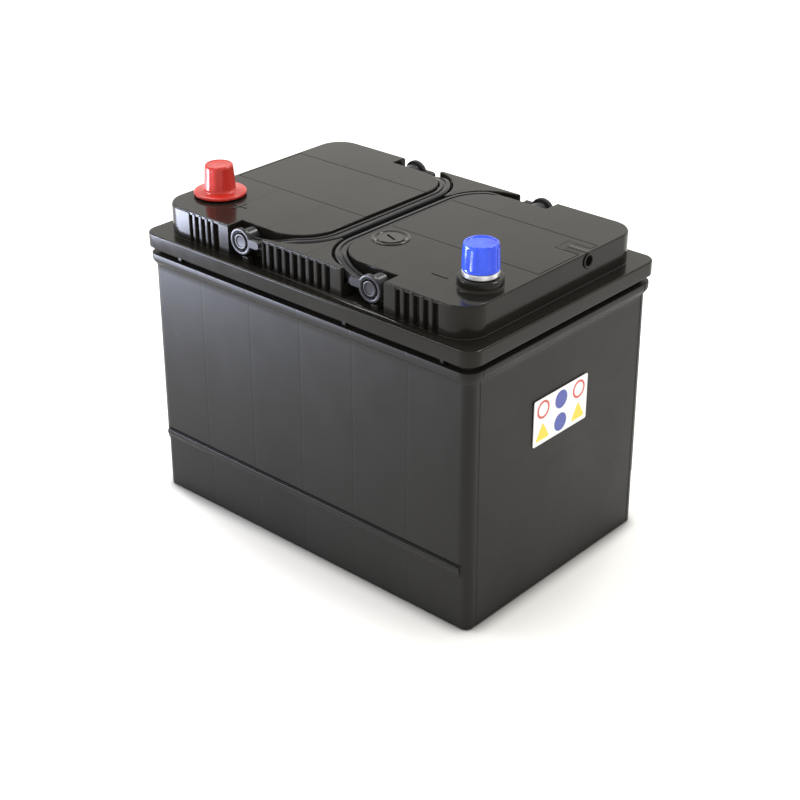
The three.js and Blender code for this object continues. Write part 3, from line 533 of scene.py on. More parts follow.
# ------------------------------------------------------------------ container


def wall_inset(z):
    """The case's walls lean: they are nearer to the middle at the shoulder than at the foot."""
    return CASE_INSET - FOOT_GROWTH * (1 - z / SHOULDER_BOTTOM)


def case_outline(half_width=HALF_WIDTH, r=CASE_CORNER):
    """The case's outline, with faint sink lines where the cell walls meet the long sides
    and a fine step near the corners of the short sides."""
    x, y = HALF_LENGTH, half_width

    def run(limit, marks, fixed, along_x, sign):
        """Points along one side, in the order of rising coordinate, with fine grooves at the marks."""
        spots = [(-limit, 0.0)]
        for mark, width, depth in marks:
            spots += [(mark - width, 0.0), (mark - width / 3, depth)]
            spots += [(mark + width / 3, depth), (mark + width, 0.0)]
        spots.append((limit, 0.0))
        return [(t, sign * (fixed - d)) if along_x else (sign * (fixed - d), t) for t, d in spots]

    long_marks = [(k * CELL_PITCH, *SINK_LINE) for k in range(-2, 3)]
    short_marks = [(side * STEP_Y, *STEP_LINE) for side in (-1, 1)]
    front = run(x - r, long_marks, y, True, -1)
    right = run(y - r, short_marks, x, False, 1)
    rear = run(x - r, long_marks, y, True, 1)[::-1]
    left = run(y - r, short_marks, x, False, -1)[::-1]
    corners = [arc(x - r, -y + r, r, -90, 0), arc(x - r, y - r, r, 0, 90)]
    corners += [arc(-x + r, y - r, r, 90, 180), arc(-x + r, -y + r, r, 180, 270)]
    points = front + corners[0][1:-1] + right + corners[1][1:-1]
    return points + rear + corners[2][1:-1] + left + corners[3][1:-1]


def make_container():
    """The case: leaning walls, a shoulder and a neck at the top, a narrower foot, ledges and six cells."""
    foot, under = wall_inset(0), wall_inset(LEDGE_FOOT)
    levels = [(LEDGE_BOTTOM - 0.5, under)]
    levels += [(z, wall_inset(z)) for z in (44, 60, 90, 120, 145, 154)]
    levels += [(157.0, 3.55), (158.2, 3.2), (159.4, 2.3), (160.6, 1.45), (161.8, 1.05), (163, 1.0)]
    levels += [(164.9, 1.0), (165.4, 1.2), (SHOULDER_TOP, 1.6), (SHOULDER_TOP, 4.9), (165.9, NECK_INSET)]
    levels += [(NECK_TOP - 0.4, NECK_INSET), (NECK_TOP, NECK_INSET + 0.3)]
    body = block(case_outline(), levels)
    levels = [(0, foot + 1.0), (0.35, foot + 0.35), (1.0, foot), (LEDGE_BOTTOM, under)]
    levels.append((LEDGE_TOP - 1, under + 0.3))
    body = join(body, block(case_outline(HALF_WIDTH - LOWER_WALL_RECESS, LOWER_CORNER), levels))
    wall = HALF_WIDTH - wall_inset(LEDGE_TOP)
    groove = [(wall - 0.9, 43.5), (wall + 2, 43.2), (wall + 2, 44.8), (wall - 0.9, 44.5)]
    ledge = [(wall - 3, LEDGE_BOTTOM - 2.5), (wall - 1.6, LEDGE_BOTTOM - 1.2), (wall - 1.2, 36.2)]
    ledge += [(wall + 0.35, 38.4), (wall + 0.75, 39.4), (wall + 0.95, 40.6), (wall + 0.95, 42.1)]
    ledge += [(wall + 0.7, 42.6), (wall + 0.3, LEDGE_TOP), (wall - 3, LEDGE_TOP)]
    body = cut(body, *both_sides(groove, LEDGE_END + 1))
    body = join(body, *both_sides(ledge, LEDGE_END), *skirt_tabs())
    body = cut(body, *cell_hollows())
    finish_mesh("battery_container", body, CASE, replaces=["container"])


def both_sides(profile, half_length):
    """A profile in Y and Z run along X, on the front and on the rear wall."""
    shapes = []
    for side in (-1, 1):
        shapes.append(loft([[(x, side * y, z) for y, z in profile] for x in (-half_length, half_length)]))
    return shapes


def cell_hollows():
    """The six cells, and the holes for the links through the walls between them."""
    outline = rounded_rectangle((CELL_PITCH - CELL_WALL) / 2, HALF_WIDTH - CAVITY_INSET, 3, 4)
    hollows = []
    for cell in range(6):
        cavity = block(outline, [(CASE_FLOOR, 0), (NECK_TOP + 1, 0)])
        hollows.append(placed(cavity, (cell - 2.5) * CELL_PITCH))
    for wall in range(1, 6):
        y = LINK_Y if wall % 2 else -LINK_Y
        hole = cylinder(LINK_RADIUS, -CELL_WALL, CELL_WALL, 24)
        hollows.append(placed(hole, (wall - 3) * CELL_PITCH, y, LINK_Z, ALONG_X))
    return hollows


def skirt_tabs():
    """Small tabs between the shoulder and the lid's skirt."""
    tabs = []
    for side in (-1, 1):
        y = sorted((side * (HALF_WIDTH - 3.4), side * (HALF_WIDTH - 6)))
        for place in TAB_PLACES:
            x = -side * place
            width = (x - TAB_HALF_WIDTH, x + TAB_HALF_WIDTH)
            tabs.append(box(width, y, (SHOULDER_TOP - 0.5, SKIRT_BOTTOM - 0.3)))
    return tabs


# ------------------------------------------------------------------ lid

# Grooves between the ribs of the front wall, as (start, end) along X, left half, middle, right half.
LEFT_GROOVES = [(-94.9, -92.7), (-89.9, -87.2), (-84.4, -81.7), (-79.0, -76.8), (-74.0, -70.0)]
MIDDLE_PITCH = 6.35
MIDDLE_GROOVES = [(-27.0 + MIDDLE_PITCH * k, -23.65 + MIDDLE_PITCH * k) for k in range(7)]
MIDDLE_GROOVES = [(-32.0, -30.0), *MIDDLE_GROOVES, (17.45, 20.9)]
RIGHT_GROOVES = [(69.9, 73.0), (76.0, 79.8), (82.8, 86.9), (89.9, 93.3), (96.3, 100.3)]


def fluted(grooves, start, end, wall):
    """Points along the front wall from start to end, dipping into each groove."""
    r = FLUTE_ROUND
    points = [(start, -wall)]
    for a, b in grooves:
        points += arc(a - r, -DECK_Y + r, r, -90, 0, 4)
        points += [(a + FLUTE_SLOPE, -DECK_Y + FLUTE_DEPTH), (b - FLUTE_SLOPE, -DECK_Y + FLUTE_DEPTH)]
        points += arc(b + r, -DECK_Y + r, r, 180, 270, 4)
    points.append((end, -wall))
    return points


def half_turn(points):
    """The rear of the lid is its front turned by half a turn."""
    return [(-x, -y) for x, y in points]


def deck_half(front_grooves, rear_grooves, wall):
    """Outline of the deck's right half, counter-clockwise."""
    r = DECK_CORNER
    front = fluted(front_grooves, RECESS_FAR, DECK_X - r, wall)
    rear = half_turn(fluted(rear_grooves, -(DECK_X - r), -RECESS_FAR, wall))
    outline = [(RECESS_FAR, -RECESS_BACK)] + front
    outline += arc(DECK_X - r, -wall + r, r, -90, 0, 10)[1:]
    outline += arc(DECK_X - r, wall - r, r, 0, 90, 10)
    outline += rear[1:]
    outline += [(RECESS_FAR, RECESS_BACK)]
    outline += arc(TURN_X, TURN_Y, TURN_INNER, 90, 180, 16)
    outline += arc(TURN_X, -TURN_Y, TURN_INNER, 180, 270, 16)
    return outline


def middle_block(grooves, wall):
    """Outline of the front block between the channels, counter-clockwise."""
    r = 0.9
    edge = math.degrees(math.asin((TURN_X - RECESS_NEAR) / TURN_OUTER))
    wide_edge = math.degrees(math.asin((TURN_X - RECESS_NEAR_WIDE) / TURN_OUTER))
    outline = fluted(grooves, -RECESS_NEAR - FLUTE_ROUND, RECESS_NEAR_WIDE - r, wall)
    outline += arc(RECESS_NEAR_WIDE - r, -wall + r, r, -60, 0, 3)
    outline += arc(TURN_X, -TURN_Y, TURN_OUTER, 270 - wide_edge, 187, 16)
    outline += [(0.75, -45.75), (0, -45.55), (-0.75, -45.75)]  # the blunt point between the channels
    outline += arc(-TURN_X, -TURN_Y, TURN_OUTER, -7, -90 + edge, 16)
    return outline


def wall_levels(top):
    """A small fillet at the foot of a wall, then the wall, then its rounded top edge."""
    foot = [(SKIRT_TOP - 1, -0.3), (SKIRT_TOP, -0.3), (SKIRT_TOP + 0.2, -0.1), (SKIRT_TOP + 0.5, 0)]
    return foot + rounded_top(top, 0.6, 5)


def rim_levels(top):
    """The plain rim that covers the tops of the flutes."""
    return [(top - 2.2, 0.3), (top - 1.9, 0.02)] + [(z, 0.02 + d) for z, d in rounded_top(top, 0.7, 5)]


def deck_blocks(wall, levels, drop=0.0, right=(), left=(), middle=()):
    """The deck's two halves and the two blocks between the channels, with grooves in their walls."""
    blocks = []
    for outline, top in ((deck_half(right, left, wall), DECK_TOP), (middle_block(middle, wall), BLOCK_TOP)):
        blocks.append(block(outline, levels(top - drop)))
        blocks.append(block(half_turn(outline), levels(top - drop)))
    return blocks


def channel_floor():
    """The floor of the handles' channels, between the pivot recesses."""
    reach = TURN_X + 1
    floor = [(RECESS_NEAR_WIDE, -75.5), (RECESS_NEAR_WIDE, -RECESS_BACK)]
    floor += [(reach, -RECESS_BACK), (reach, RECESS_BACK)]
    floor += [(RECESS_NEAR, RECESS_BACK), (RECESS_NEAR, 75.5)]
    return block(floor + half_turn(floor), [(SKIRT_TOP - 1, 0), (CHANNEL_FLOOR, 0)])


def make_lid():
    """The lid: skirt, fluted deck with its rim, channels, bosses and moulded lines, seats and holes."""
    skirt = rounded_rectangle(HALF_LENGTH, HALF_WIDTH, SKIRT_CORNER, 10)
    levels = [(NECK_TOP + 0.3, SKIRT_WALL), (SKIRT_BOTTOM, SKIRT_WALL), (SKIRT_BOTTOM, 0.6)]
    levels += [(SKIRT_BOTTOM + 0.2, 0.2), (SKIRT_BOTTOM + 0.7, 0)] + rounded_top(SKIRT_TOP, 0.9, 5)
    body = block(skirt, levels + [(SKIRT_TOP, 1.3)])
    fluted_part = deck_blocks(DECK_Y, wall_levels, RIM_DROP, RIGHT_GROOVES, LEFT_GROOVES, MIDDLE_GROOVES)
    body = join(body, *fluted_part, channel_floor(), *pivot_rests())
    body = join(body, *deck_blocks(DECK_Y - RIM_SETBACK, rim_levels))
    body = join(body, *terminal_bosses(), *deck_marks())
    body = cut(body, *panel_seats(), *pin_holes())
    body = cut(join(body, vent_bump()), *lid_holes())
    finish_mesh("battery_lid", body, LID, replaces=["lid"])


def pivot_rests():
    """Small blocks on the recess floors, under the rings of the handles."""
    rests = []
    for side_x, side_y in QUARTERS:
        x = side_x * PIVOT_X
        y = sorted((side_y * RING_FACE, side_y * (RING_FACE - 4)))
        rests.append(box((x + 1, x + 6), y, (SKIRT_TOP - 0.5, SKIRT_TOP + 3.5), 0.6))
    return rests


def terminal_bosses():
    """A low boss under the red cap and a high one under the blue cap."""
    low = [(0, BOSS_FOOT), (12.9, BOSS_FOOT), (14.6, DECK_TOP - 0.2), (14.2, DECK_TOP + 0.35)]
    low += [(13.6, LOW_BOSS), (0, LOW_BOSS)]
    high = [(0, BOSS_FOOT), (13.9, BOSS_FOOT), (13.9, DECK_TOP - 0.1), (13.2, DECK_TOP + 0.6)]
    high += [(13, DECK_TOP + 1.4), (13, HIGH_BOSS - 1), (12.7, HIGH_BOSS - 0.3)]
    high += [(12, HIGH_BOSS), (0, HIGH_BOSS)]
    return [placed(lathe(low), -TERMINAL_X, TERMINAL_Y), placed(lathe(high), TERMINAL_X, TERMINAL_Y)]


def ridge(start, end, width=0.5, height=0.14, z=DECK_TOP):
    """A fine raised line on the deck, from one point to another, narrower at its top."""
    a, b = Vector(start), Vector(end)
    along = (b - a).normalized()
    across = Vector((-along.y, along.x)) * width
    corners = [a - across, b - across, b + across, a + across]
    inward = [across * 0.7, across * 0.7, across * -0.7, across * -0.7]
    middle = (a + b) / 2
    top = [middle + (corner - middle) * 0.998 + move for corner, move in zip(corners, inward)]
    levels = ((corners, z - 0.3), (corners, z), (top, z + height))
    return loft([[(c.x, c.y, level) for c in points] for points, level in levels])


def deck_marks():
    """Cell-wall lines, polarity marks and other fine moulded lines on the deck."""
    marks = []
    for side in (-1, 1):
        for x in CELL_LINES:
            edge = RECESS_BACK - 2.6 if x < RECESS_FAR else DECK_Y - 2
            marks.append(ridge((side * x, PANEL_BACK + 2), (side * x, edge)))
            marks.append(ridge((side * x, PANEL_FRONT - 2), (side * x, -edge)))
    marks.append(ridge((0, -50), (0, -76), z=BLOCK_TOP))
    marks.append(ridge((0, 50), (0, 76), z=BLOCK_TOP))
    for start, end in (((83, -61), (110, -61)), ((-110, -63), (-83, -63)), ((69.5, -24), (69.5, -46))):
        marks.append(ridge(start, end, 0.4, 0.1))
    bars = [((73.3, 84.3), (-52.8, -51.2)), ((-84.3, -73.3), (-52.8, -51.2))]  # the minus, and the plus's bar
    bars += [((-79.6, -78.0), y) for y in ((-57.5, -52.6), (-51.4, -46.5))]  # the plus's two upright halves
    for x, y in bars:
        marks.append(box(x, y, (DECK_TOP - 0.4, DECK_TOP + 0.4), 0.35))
    return marks


def vent_bump():
    """The low round ridge over the vent channel, and the fine lines beside it."""
    length = DECK_X - VENT_RIDGE
    profile = [(0, 0), (4.9, 0), (5.2, 0.4), (5.25, length - 0.3), (5.0, length), (0, length)]
    bump = placed(lathe(profile, 48), VENT_RIDGE, VENT_Y, VENT_Z, ALONG_X)
    fill = box((102, PANEL_END + 1), (22, 33.8), (DECK_TOP - 3, DECK_TOP - 0.02))
    lines = [ridge((107, y), (117.5, y), 0.35, 0.12) for y in (22.6, 25.2, 33.0)]
    return join(fill, bump, *lines)


def panel_seats():
    """Seats for the cover panels, a little wider at the top so that their edges catch the light."""
    seats = []
    for side in (-1, 1):
        x = sorted((side * (PANEL_START - 2.3), side * (PANEL_END + PANEL_GAP)))
        outline = rectangle(x, (PANEL_FRONT - PANEL_GAP, PANEL_BACK + PANEL_GAP))
        levels = [(DECK_TOP - 2.3, 0), (DECK_TOP - 0.25, 0), (DECK_TOP + 0.05, -0.25), (DECK_TOP + 1, -0.25)]
        seats.append(block(outline, levels))
    return seats


def pin_holes():
    """Blind bores for the pivot pins, in the backs of the recesses."""
    holes = []
    for side_x, side_y in QUARTERS:
        hole = cylinder(PIN_BORE, PIN_END - 0.3, RECESS_BACK + 1)
        holes.append(placed(hole, side_x * PIVOT_X, 0, PIVOT_Z, along_y(side_y)))
    return holes


def lid_holes():
    """Bores for the bushes, the indicator and the vent."""
    seat = [(0, 170), (8, 170), (8, DECK_TOP - 2), (10, DECK_TOP - 2), (10, DECK_TOP + 1), (0, DECK_TOP + 1)]
    return [
        placed(cylinder(POSITIVE_HOLE, 170, 210), -TERMINAL_X, TERMINAL_Y),
        placed(cylinder(NEGATIVE_HOLE, 170, 210), TERMINAL_X, TERMINAL_Y),
        placed(lathe(seat, 48), *INDICATOR),
        placed(cylinder(VENT_HOLE, 0, 30), VENT_START - 2, VENT_Y, VENT_Z, ALONG_X),
    ]


def make_cover_panels():
    """Flush panels over the gas channels. The right one leaves room for the vent's ridge."""
    levels = [(DECK_TOP - 2, 0), (DECK_TOP - 0.3, 0), (DECK_TOP - 0.08, 0.08), (DECK_TOP, 0.3)]
    for side, name in ((-1, "left_cover_panel"), (1, "right_cover_panel")):
        x = sorted((side * PANEL_START, side * PANEL_END))
        outline = rectangle(x, (PANEL_FRONT, PANEL_BACK))
        if side > 0:
            notch = [(x[1], 21.7), (101.7, 21.7), (101.7, 34.1), (x[1], 34.1)]
            outline = outline[:2] + notch + outline[2:]
        finish_mesh("gas_" + name, block(outline, levels), LID, replaces=[name])


# ------------------------------------------------------------------ handles


def bar_section():
    """Section of the grip as (across, up): rounded, with a groove along the top."""
    w, h, r = BAR_WIDTH / 2, BAR_HEIGHT, 1.5
    points = arc(-w + r, r, r, 180, 270, 4) + arc(w - r, r, r, 270, 360, 4)
    points += arc(w - r, h - r, r, 0, 70, 4)
    points += [(1.3, h), (0.85, h - 0.15), (0.6, h - 0.9), (-0.6, h - 0.9), (-0.85, h - 0.15), (-1.3, h)]
    points += arc(-w + r, h - r, r, 110, 180, 4)
    return points


def bar_station(distance):
    """Place, direction and drop of the rear half of a bar, at a distance from the end of its grip."""
    angle = min(distance / BAR_RADIUS, BAR_TURN)
    straight = max(distance - BAR_RADIUS * BAR_TURN, 0)
    along = Vector((math.sin(angle), math.cos(angle)))
    centre = Vector((TURN_X, TURN_Y))
    point = centre + BAR_RADIUS * Vector((-math.cos(angle), math.sin(angle))) + straight * along
    share = min(max((distance - DROP_START) / (DROP_END - DROP_START), 0), 1)
    return point, along, BAR_DROP * share * share * (3 - 2 * share)


def bar_stations():
    """Stations of a whole bar, from its front ring to its rear one."""
    rear = [bar_station(distance) for distance in (*range(0, BAR_END - 1, 2), BAR_END - 0.5, BAR_END)]
    front = [(Vector((p.x, -p.y)), Vector((-a.x, a.y)), drop) for p, a, drop in reversed(rear)]
    grip = [(Vector((TURN_X - BAR_RADIUS, y)), Vector((0, 1)), 0.0) for y in (-28, -14, 0, 14, 28)]
    return front + grip + rear


def handle_bar(side):
    """The bar of a handle, from ring to ring."""
    stations = bar_stations()
    section = bar_section()
    bottom = BAR_TOP - BAR_HEIGHT
    rings = []
    for i, (point, along, drop) in enumerate(stations):
        size = BAR_TIP if i in (0, len(stations) - 1) else 1.0
        ring = []
        for u, v in section:
            x, y = point.x + along.y * u * size, point.y - along.x * u * size
            ring.append((side * x, y, bottom - drop + (v - BAR_MIDDLE) * size + BAR_MIDDLE))
        rings.append(ring if side > 0 else ring[::-1])
    return loft(rings)


def make_handle(side, name):
    """A folded bail handle: its bar, and at each end a sleeve, a ring, a tab and the bore for the pin."""
    start, face = RECESS_BACK + 0.6, RING_FACE
    sleeve = [(0, start), (5.7, start), (6.3, start + 0.6), (6.3, face - 3.2), (5.4, face - 2.6)]
    sleeve.append((0, face - 2.6))
    r = RING_RADIUS
    ring = [(0, face - 3), (r - 0.65, face - 3), (r, face - 2.4), (r, face - 0.6), (r - 0.25, face - 0.15)]
    ring += [(r - 0.65, face), (6.6, face), (6.15, face - 0.2), (5.9, face - 0.6), (0, face - 0.6)]
    bore = [(0, start - 1), (4.35, start - 1), (4.35, face - 2.7), (5.75, face - 2.7), (5.75, face + 1)]
    bore.append((0, face + 1))
    parts = []
    bores = []
    for side_y in (-1, 1):
        axis = (side * PIVOT_X, 0, PIVOT_Z, along_y(side_y))
        parts += [placed(lathe(sleeve, 48), *axis), placed(lathe(ring, 64), *axis), ring_tab(side, side_y)]
        bores.append(placed(lathe(bore, 48), *axis))
    body = cut(join(handle_bar(side), *parts), *bores)
    finish_mesh(name + "_carrying", body, HANDLE, name, [name], 40)


def ring_tab(side, side_y):
    """Flat tab from the ring towards the middle of the case."""
    r = 1.9
    low, high = PIVOT_Z - 1, PIVOT_Z + 3
    inner, outer = PIVOT_X - 14.7, PIVOT_X - RING_RADIUS + 1.5
    outline = [(outer, low), (outer, high)]
    outline += arc(inner + r, high - r, r, 90, 180, 5) + arc(inner + r, low + r, r, 180, 270, 5)
    outline = outline[::-1]
    face = RING_FACE
    rings = []
    for depth, amount in ((face - 3, 0.35), (face - 2.7, 0), (face - 0.5, 0), (face, 0.4)):
        rings.append([(side * x, side_y * depth, z) for x, z in inset(outline, amount)])
    return loft(rings)


def make_pivot_pins():
    """Four pins with dished heads, which sit inside the rings."""
    end, face = PIN_END, RING_FACE
    profile = [(0, end), (3.3, end), (4, end + 0.8), (4, face - 2.4), (4.85, face - 2.4)]
    profile += [(4.85, face - 0.45), (4.6, face - 0.12), (4.2, face), (3.4, face - 0.1), (3.0, face - 0.45)]
    profile.append((0, face - 0.55))
    names_x, names_y = {-1: "left", 1: "right"}, {-1: "front", 1: "rear"}
    for side_x, side_y in QUARTERS:
        pin = placed(lathe(profile, 48), side_x * PIVOT_X, 0, PIVOT_Z, along_y(side_y))
        node = f"{names_x[side_x]}_{names_y[side_y]}_pivot_pin"
        finish_mesh(node + "_moulded", pin, HANDLE, "case", [node])


# ------------------------------------------------------------------ terminals


def make_bush(name, x, neck, profile):
    """A lead bush: a flange under the lid, a neck through it, and above it the given profile."""
    foot = [(BUSH_BORE, BUSH_BOTTOM), (BUSH_FLANGE, BUSH_BOTTOM), (BUSH_FLANGE, FLANGE_TOP)]
    turned = placed(lathe([*foot, (neck, FLANGE_TOP), *profile]), x, TERMINAL_Y)
    finish_mesh(name + "_turned", turned, LEAD, replaces=[name])


def make_bushes():
    """Each bush has a collar on its boss and a post that narrows to the top."""
    collar, top = LOW_BOSS + 0.3, POSITIVE_BUSH_TOP
    profile = [(POSITIVE_NECK, collar), (8.5, collar), (8.5, collar + 2), (8.2, collar + 2.2)]
    profile += [(7.45, top - 0.6), (7.0, top), (BUSH_BORE, top)]
    make_bush("positive_bush", -TERMINAL_X, POSITIVE_NECK, profile)
    collar, top = HIGH_BOSS + 0.3, NEGATIVE_BUSH_TOP
    profile = [(NEGATIVE_NECK, collar), (10.0, collar), (10.4, collar + 0.4), (10.4, collar + 2.6)]
    profile += [(10.1, collar + 3), (8.7, collar + 3), (7.95, top - 0.6), (7.5, top), (BUSH_BORE, top)]
    make_bush("negative_bush", TERMINAL_X, NEGATIVE_NECK, profile)


def make_cap(name, x, cap, material):
    """A turned cap, put over its bush. It rides on the body of its own name, which lifts off."""
    finish_mesh(name + "_moulded", placed(cap, x, TERMINAL_Y), material, name, [name], 40)


def make_caps():
    """The red cap is a hat with a wide brim. The blue one is a taller cup with a lip and a rippled side."""
    brim, top = LOW_BOSS + 0.5, POSITIVE_CAP_TOP
    cap = [(0, top - 1), (7.8, top - 1), (8.8, brim), (16.0, brim), (16.2, brim + 0.3), (16.2, brim + 1.1)]
    cap += [(15.9, brim + 1.6), (15.2, brim + 1.9), (12.5, brim + 2.15), (10.6, brim + 2.5)]
    cap += [(9.95, brim + 3.1), (9.65, brim + 4.2), (9.25, 209.5), (8.8, top - 1.6), (8.65, top - 0.8)]
    cap += [(8.2, top - 0.2), (7.5, top), (7.1, top), (6.8, top - 0.25), (0, top - 0.3)]
    turned = lathe(cap, 96, wave=0.1, waves=12, wave_from=brim + 4, wave_to=top - 1.4)
    make_cap("positive_cap", -TERMINAL_X, turned, RED)
    rim, top = HIGH_BOSS + 3.6, NEGATIVE_CAP_TOP
    cap = [(0, top - 1), (8.7, top - 1), (9.3, rim), (10.1, rim), (10.4, rim + 0.3), (10.4, rim + 1.0)]
    cap += [(10.2, rim + 1.5), (10.15, rim + 2.0), (9.95, 214.5), (9.7, top - 2.5), (9.75, top - 2)]
    cap += [(9.75, top - 1.1), (9.55, top - 0.4), (9.0, top), (8.3, top), (7.95, top - 0.25)]
    cap += [(7.75, top - 0.6), (0, top - 0.65)]
    turned = lathe(cap, 144, wave=0.32, waves=10, wave_from=rim + 1.9, wave_to=top - 2.4)
    make_cap("negative_cap", TERMINAL_X, turned, BLUE)


# ------------------------------------------------------------------ indicator, vent and label


def make_indicator():
    """A round plug with a raised rolled edge and a slot for a coin."""
    under, bottom = DECK_TOP + 0.06, INDICATOR_BOTTOM
    profile = [(0, bottom), (7.6, bottom), (7.6, under - 0.4), (8.8, under - 0.4), (9.4, under)]
    profile += [(11.2, under), (11.45, under + 0.1), (11.4, under + 0.25), (11.1, under + 0.5)]
    profile += [(10.6, under + 0.65), (10.2, under + 0.62), (9.3, under + 0.25), (8.6, under - 0.1)]
    profile += [(8.1, under - 0.15), (7.95, under - 0.1), (7.85, under + 0.35), (7.7, under + 0.45)]
    profile.append((0, under + 0.45))
    length, width = SLOT_HALF_LENGTH, SLOT_HALF_WIDTH
    slot = box((-length, length), (-width, width), (DECK_TOP - 0.6, DECK_TOP + 4))
    slot = placed(slot, turn=Matrix.Rotation(math.radians(SLOT_TURN), 4, "Z"))
    plug = placed(cut(lathe(profile, 96), slot), *INDICATOR)
    finish_mesh("indicator_plug_moulded", plug, PLUG, replaces=["indicator_plug"])


def make_vent():
    """The gas outlet: a tube with a round-edged flange on the end of the deck."""
    end, face = DECK_X - VENT_START, DECK_X + 0.9 - VENT_START
    profile = [(VENT_BORE, 0), (VENT_TUBE, 0), (VENT_TUBE, end + 0.3), (VENT_FLANGE - 0.3, end + 0.3)]
    profile += [(VENT_FLANGE, end + 0.5), (VENT_FLANGE - 0.1, face - 0.15), (VENT_FLANGE - 0.3, face)]
    profile += [(VENT_BORE + 0.5, face), (VENT_BORE + 0.1, face - 0.3), (VENT_BORE, face - 0.8)]
    vent = placed(lathe(profile, 64), VENT_START, VENT_Y, VENT_Z, ALONG_X)
    finish_mesh("vent_port_moulded", vent, LID, replaces=["vent_port"])


def tile(outline, x0, x1, edge=0.04):
    """A thin plate on the right end wall, from an outline in Y and Z."""
    rings = [[(x0, y, z) for y, z in outline]]
    rings.append([(x1 - edge, y, z) for y, z in outline])
    rings.append([(x1, y, z) for y, z in inset(outline, edge)])
    return loft(rings)


def circle(y, z, radius):
    """An outline in Y and Z, for a tile."""
    return arc(y, z, radius, 0, 354, 59)


def triangle(y, z, radius=5.6):
    """A triangle with rounded corners, point up, as an outline in Y and Z."""
    outline = []
    for k in range(3):
        angle = math.radians(90 + 120 * k)
        corner = (y + radius * math.cos(angle), z + radius * math.sin(angle))
        outline += arc(*corner, SIGN_CORNER, 30 + 120 * k, 150 + 120 * k, 5)
    return outline


def make_label():
    """A white label with two rows of plain signs: rings and triangles outside, discs in the middle."""
    low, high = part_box("side_label")
    x0, x1 = low.x / MM, high.x / MM - INK_ROOM
    y0, y1, z0, z1 = low.y / MM, high.y / MM, low.z / MM, high.z / MM
    cy, cz = (y0 + y1) / 2, (z0 + z1) / 2
    outline = rounded_rectangle((y1 - y0) / 2, (z1 - z0) / 2, LABEL_CORNER, 5)
    sheet = [(cy + u, cz + v) for u, v in outline]
    finish_mesh("side_label_film", tile(sheet, x0, x1), PAPER, replaces=["side_label"])
    step_y, step_z = (y1 - y0) / 3, (z1 - z0) / 2
    front = x1 + INK
    signs = {"red": [], "blue": [], "yellow": []}
    for column in range(3):
        for row in range(2):
            y = y0 + step_y * (column + 0.5)
            z = z0 + step_z * (row + 0.5)
            if column == 1:
                signs["blue"].append(tile(circle(y, z, SIGN_RADIUS), x1, front))
            elif row == 1:
                hole = tile(circle(y, z, SIGN_HOLE), x1 - 1, front + 1)
                signs["red"].append(cut(tile(circle(y, z, SIGN_RADIUS), x1, front), hole))
            else:
                signs["yellow"].append(tile(triangle(y, z - 0.9), x1, front))
    inks = {"red": PRINT_RED, "blue": PRINT_BLUE, "yellow": PRINT_YELLOW}
    for colour, shapes in signs.items():
        for number, shape in enumerate(shapes, 1):
            finish_mesh(f"label_{colour}_shape_{number}", shape, inks[colour])


# ------------------------------------------------------------------ pieces that keep their CAD shape


def dress_inner_pieces():
    """Gives each CAD node that is kept its material."""
    looks = {
        "positive_post": LEAD,
        "negative_post": LEAD,
        "indicator_seal": RUBBER,
        "indicator_rod": CLEAR,
        "float_cage": CLEAR,
        "float_ball": BALL,
        "flame_arrestor": DISC,
    }
    for number in range(1, 7):
        looks[f"positive_group_{number}"] = POSITIVE_PASTE
        looks[f"negative_group_{number}"] = NEGATIVE_PASTE
        looks[f"separator_{number}"] = SEPARATOR
    for number in range(1, 6):
        looks[f"cell_link_{number}"] = LEAD
    for name, material in looks.items():
        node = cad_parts[name]
        node.data.materials.clear()
        node.data.materials.append(material)


# ------------------------------------------------------------------ floor, lights and camera, in metres

FLOOR_SIZE, FLOOR_LEVEL = 6.0, -0.0002
# how far from the battery the floor's painted contact shadow reaches, in metres
CONTACT_SHADOW = 0.011
LENS = 73.42  # focal length, in millimetres
CAMERA_PLACE = (0.60534, -0.67669, 0.55401)
CAMERA_TILT, CAMERA_ROLL, CAMERA_HEADING = 62.0967, 0.0498, 41.6240  # degrees


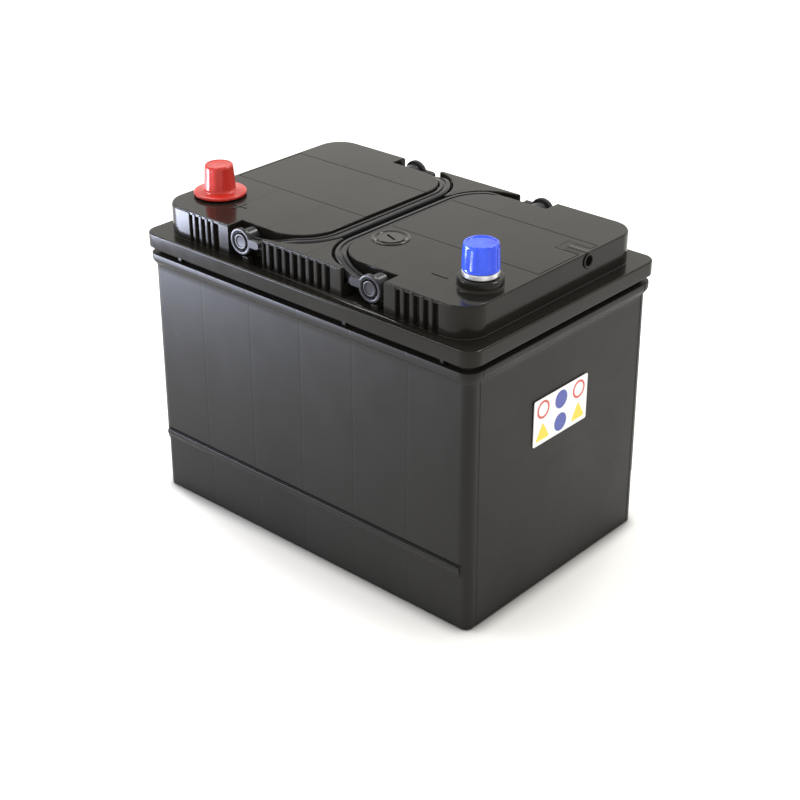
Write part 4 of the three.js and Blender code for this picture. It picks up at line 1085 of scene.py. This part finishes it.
def make_floor():
    """A pale floor with a painted contact shadow: its colour turns grey right under the battery's edge."""
    bm = bmesh.new()
    corners = rectangle((-FLOOR_SIZE, FLOOR_SIZE), (-FLOOR_SIZE, FLOOR_SIZE))
    bm.faces.new([bm.verts.new((x, y, FLOOR_LEVEL)) for x, y in corners])
    mesh = bpy.data.meshes.new("floor")
    bm.to_mesh(mesh)
    bm.free()
    floor = bpy.data.objects.new("floor", mesh)
    bpy.context.scene.collection.objects.link(floor)
    m = Nodes("floor_paper")
    paper = m.mix(m.noise(3, 2), (0.93, 0.93, 0.93), (0.95, 0.95, 0.95))
    contact = m.add("ShaderNodeAmbientOcclusion", samples=8)
    contact.inputs["Distance"].default_value = CONTACT_SHADOW
    openness = m.span(contact.outputs["AO"], 0, 1, 0.45, 0.95)
    # painted contact shadow: where the AO finds the battery close by, the floor's colour mixes to grey
    m.to(Base_Color=m.mix(openness, (0.3, 0.3, 0.3), paper), Roughness=0.9)
    m.shader.inputs["Specular IOR Level"].default_value = 0.1
    mesh.materials.append(m.material)


def area_light(name, place, target, size, power, colour=(1, 1, 1), spread=180):
    """A rectangular lamp that points at a target and that the camera doesn't see."""
    light = bpy.data.lights.new(name, "AREA")
    light.shape = "RECTANGLE"
    light.size, light.size_y = size
    light.energy = power
    light.color = colour
    light.spread = math.radians(spread)
    lamp = bpy.data.objects.new(name, light)
    lamp.location = place
    lamp.visible_camera = False
    lamp.rotation_euler = (Vector(target) - Vector(place)).to_track_quat("-Z", "Y").to_euler()
    bpy.context.scene.collection.objects.link(lamp)


def make_lights():
    """A warm even surround, a weak cool strip beside the front wall, and two lamps over the lid."""
    world = bpy.data.worlds.new("studio")
    world.use_nodes = True
    background = world.node_tree.nodes["Background"]
    background.inputs["Color"].default_value = (1, 0.975, 0.92, 1)
    background.inputs["Strength"].default_value = 1.3
    bpy.context.scene.world = world
    cool = (0.74, 0.79, 1.0)
    area_light("low_left", (-0.43, -0.35, 0.09), (-0.1, -0.08, 0.19), (0.36, 0.13), 1.2, cool, spread=70)
    lid_centre = (0, 0, 0.19)
    area_light("high_left", (-0.62, 0.03, 1.05), lid_centre, (0.16, 0.6), 5.5)
    area_light("high_rear", (0.02, 0.58, 1.0), lid_centre, (0.26, 0.18), 3.6)


def make_camera():
    """The camera stands off the blue cap's corner of the case and looks down on the lid."""
    data = bpy.data.cameras.new("camera")
    data.lens = LENS
    data.sensor_width = 36
    data.clip_start, data.clip_end = 0.05, 50
    camera = bpy.data.objects.new("camera", data)
    camera.rotation_euler = [math.radians(angle) for angle in (CAMERA_TILT, CAMERA_ROLL, CAMERA_HEADING)]
    camera.location = CAMERA_PLACE
    bpy.context.scene.collection.objects.link(camera)
    bpy.context.scene.camera = camera


make_camera()
make_floor()
make_lights()
bpy.context.scene.view_settings.view_transform = "Standard"

make_container()
make_lid()
make_cover_panels()
make_handle(-1, "left_handle")
make_handle(1, "right_handle")
make_pivot_pins()
make_bushes()
make_caps()
make_indicator()
make_vent()
make_label()
dress_inner_pieces()
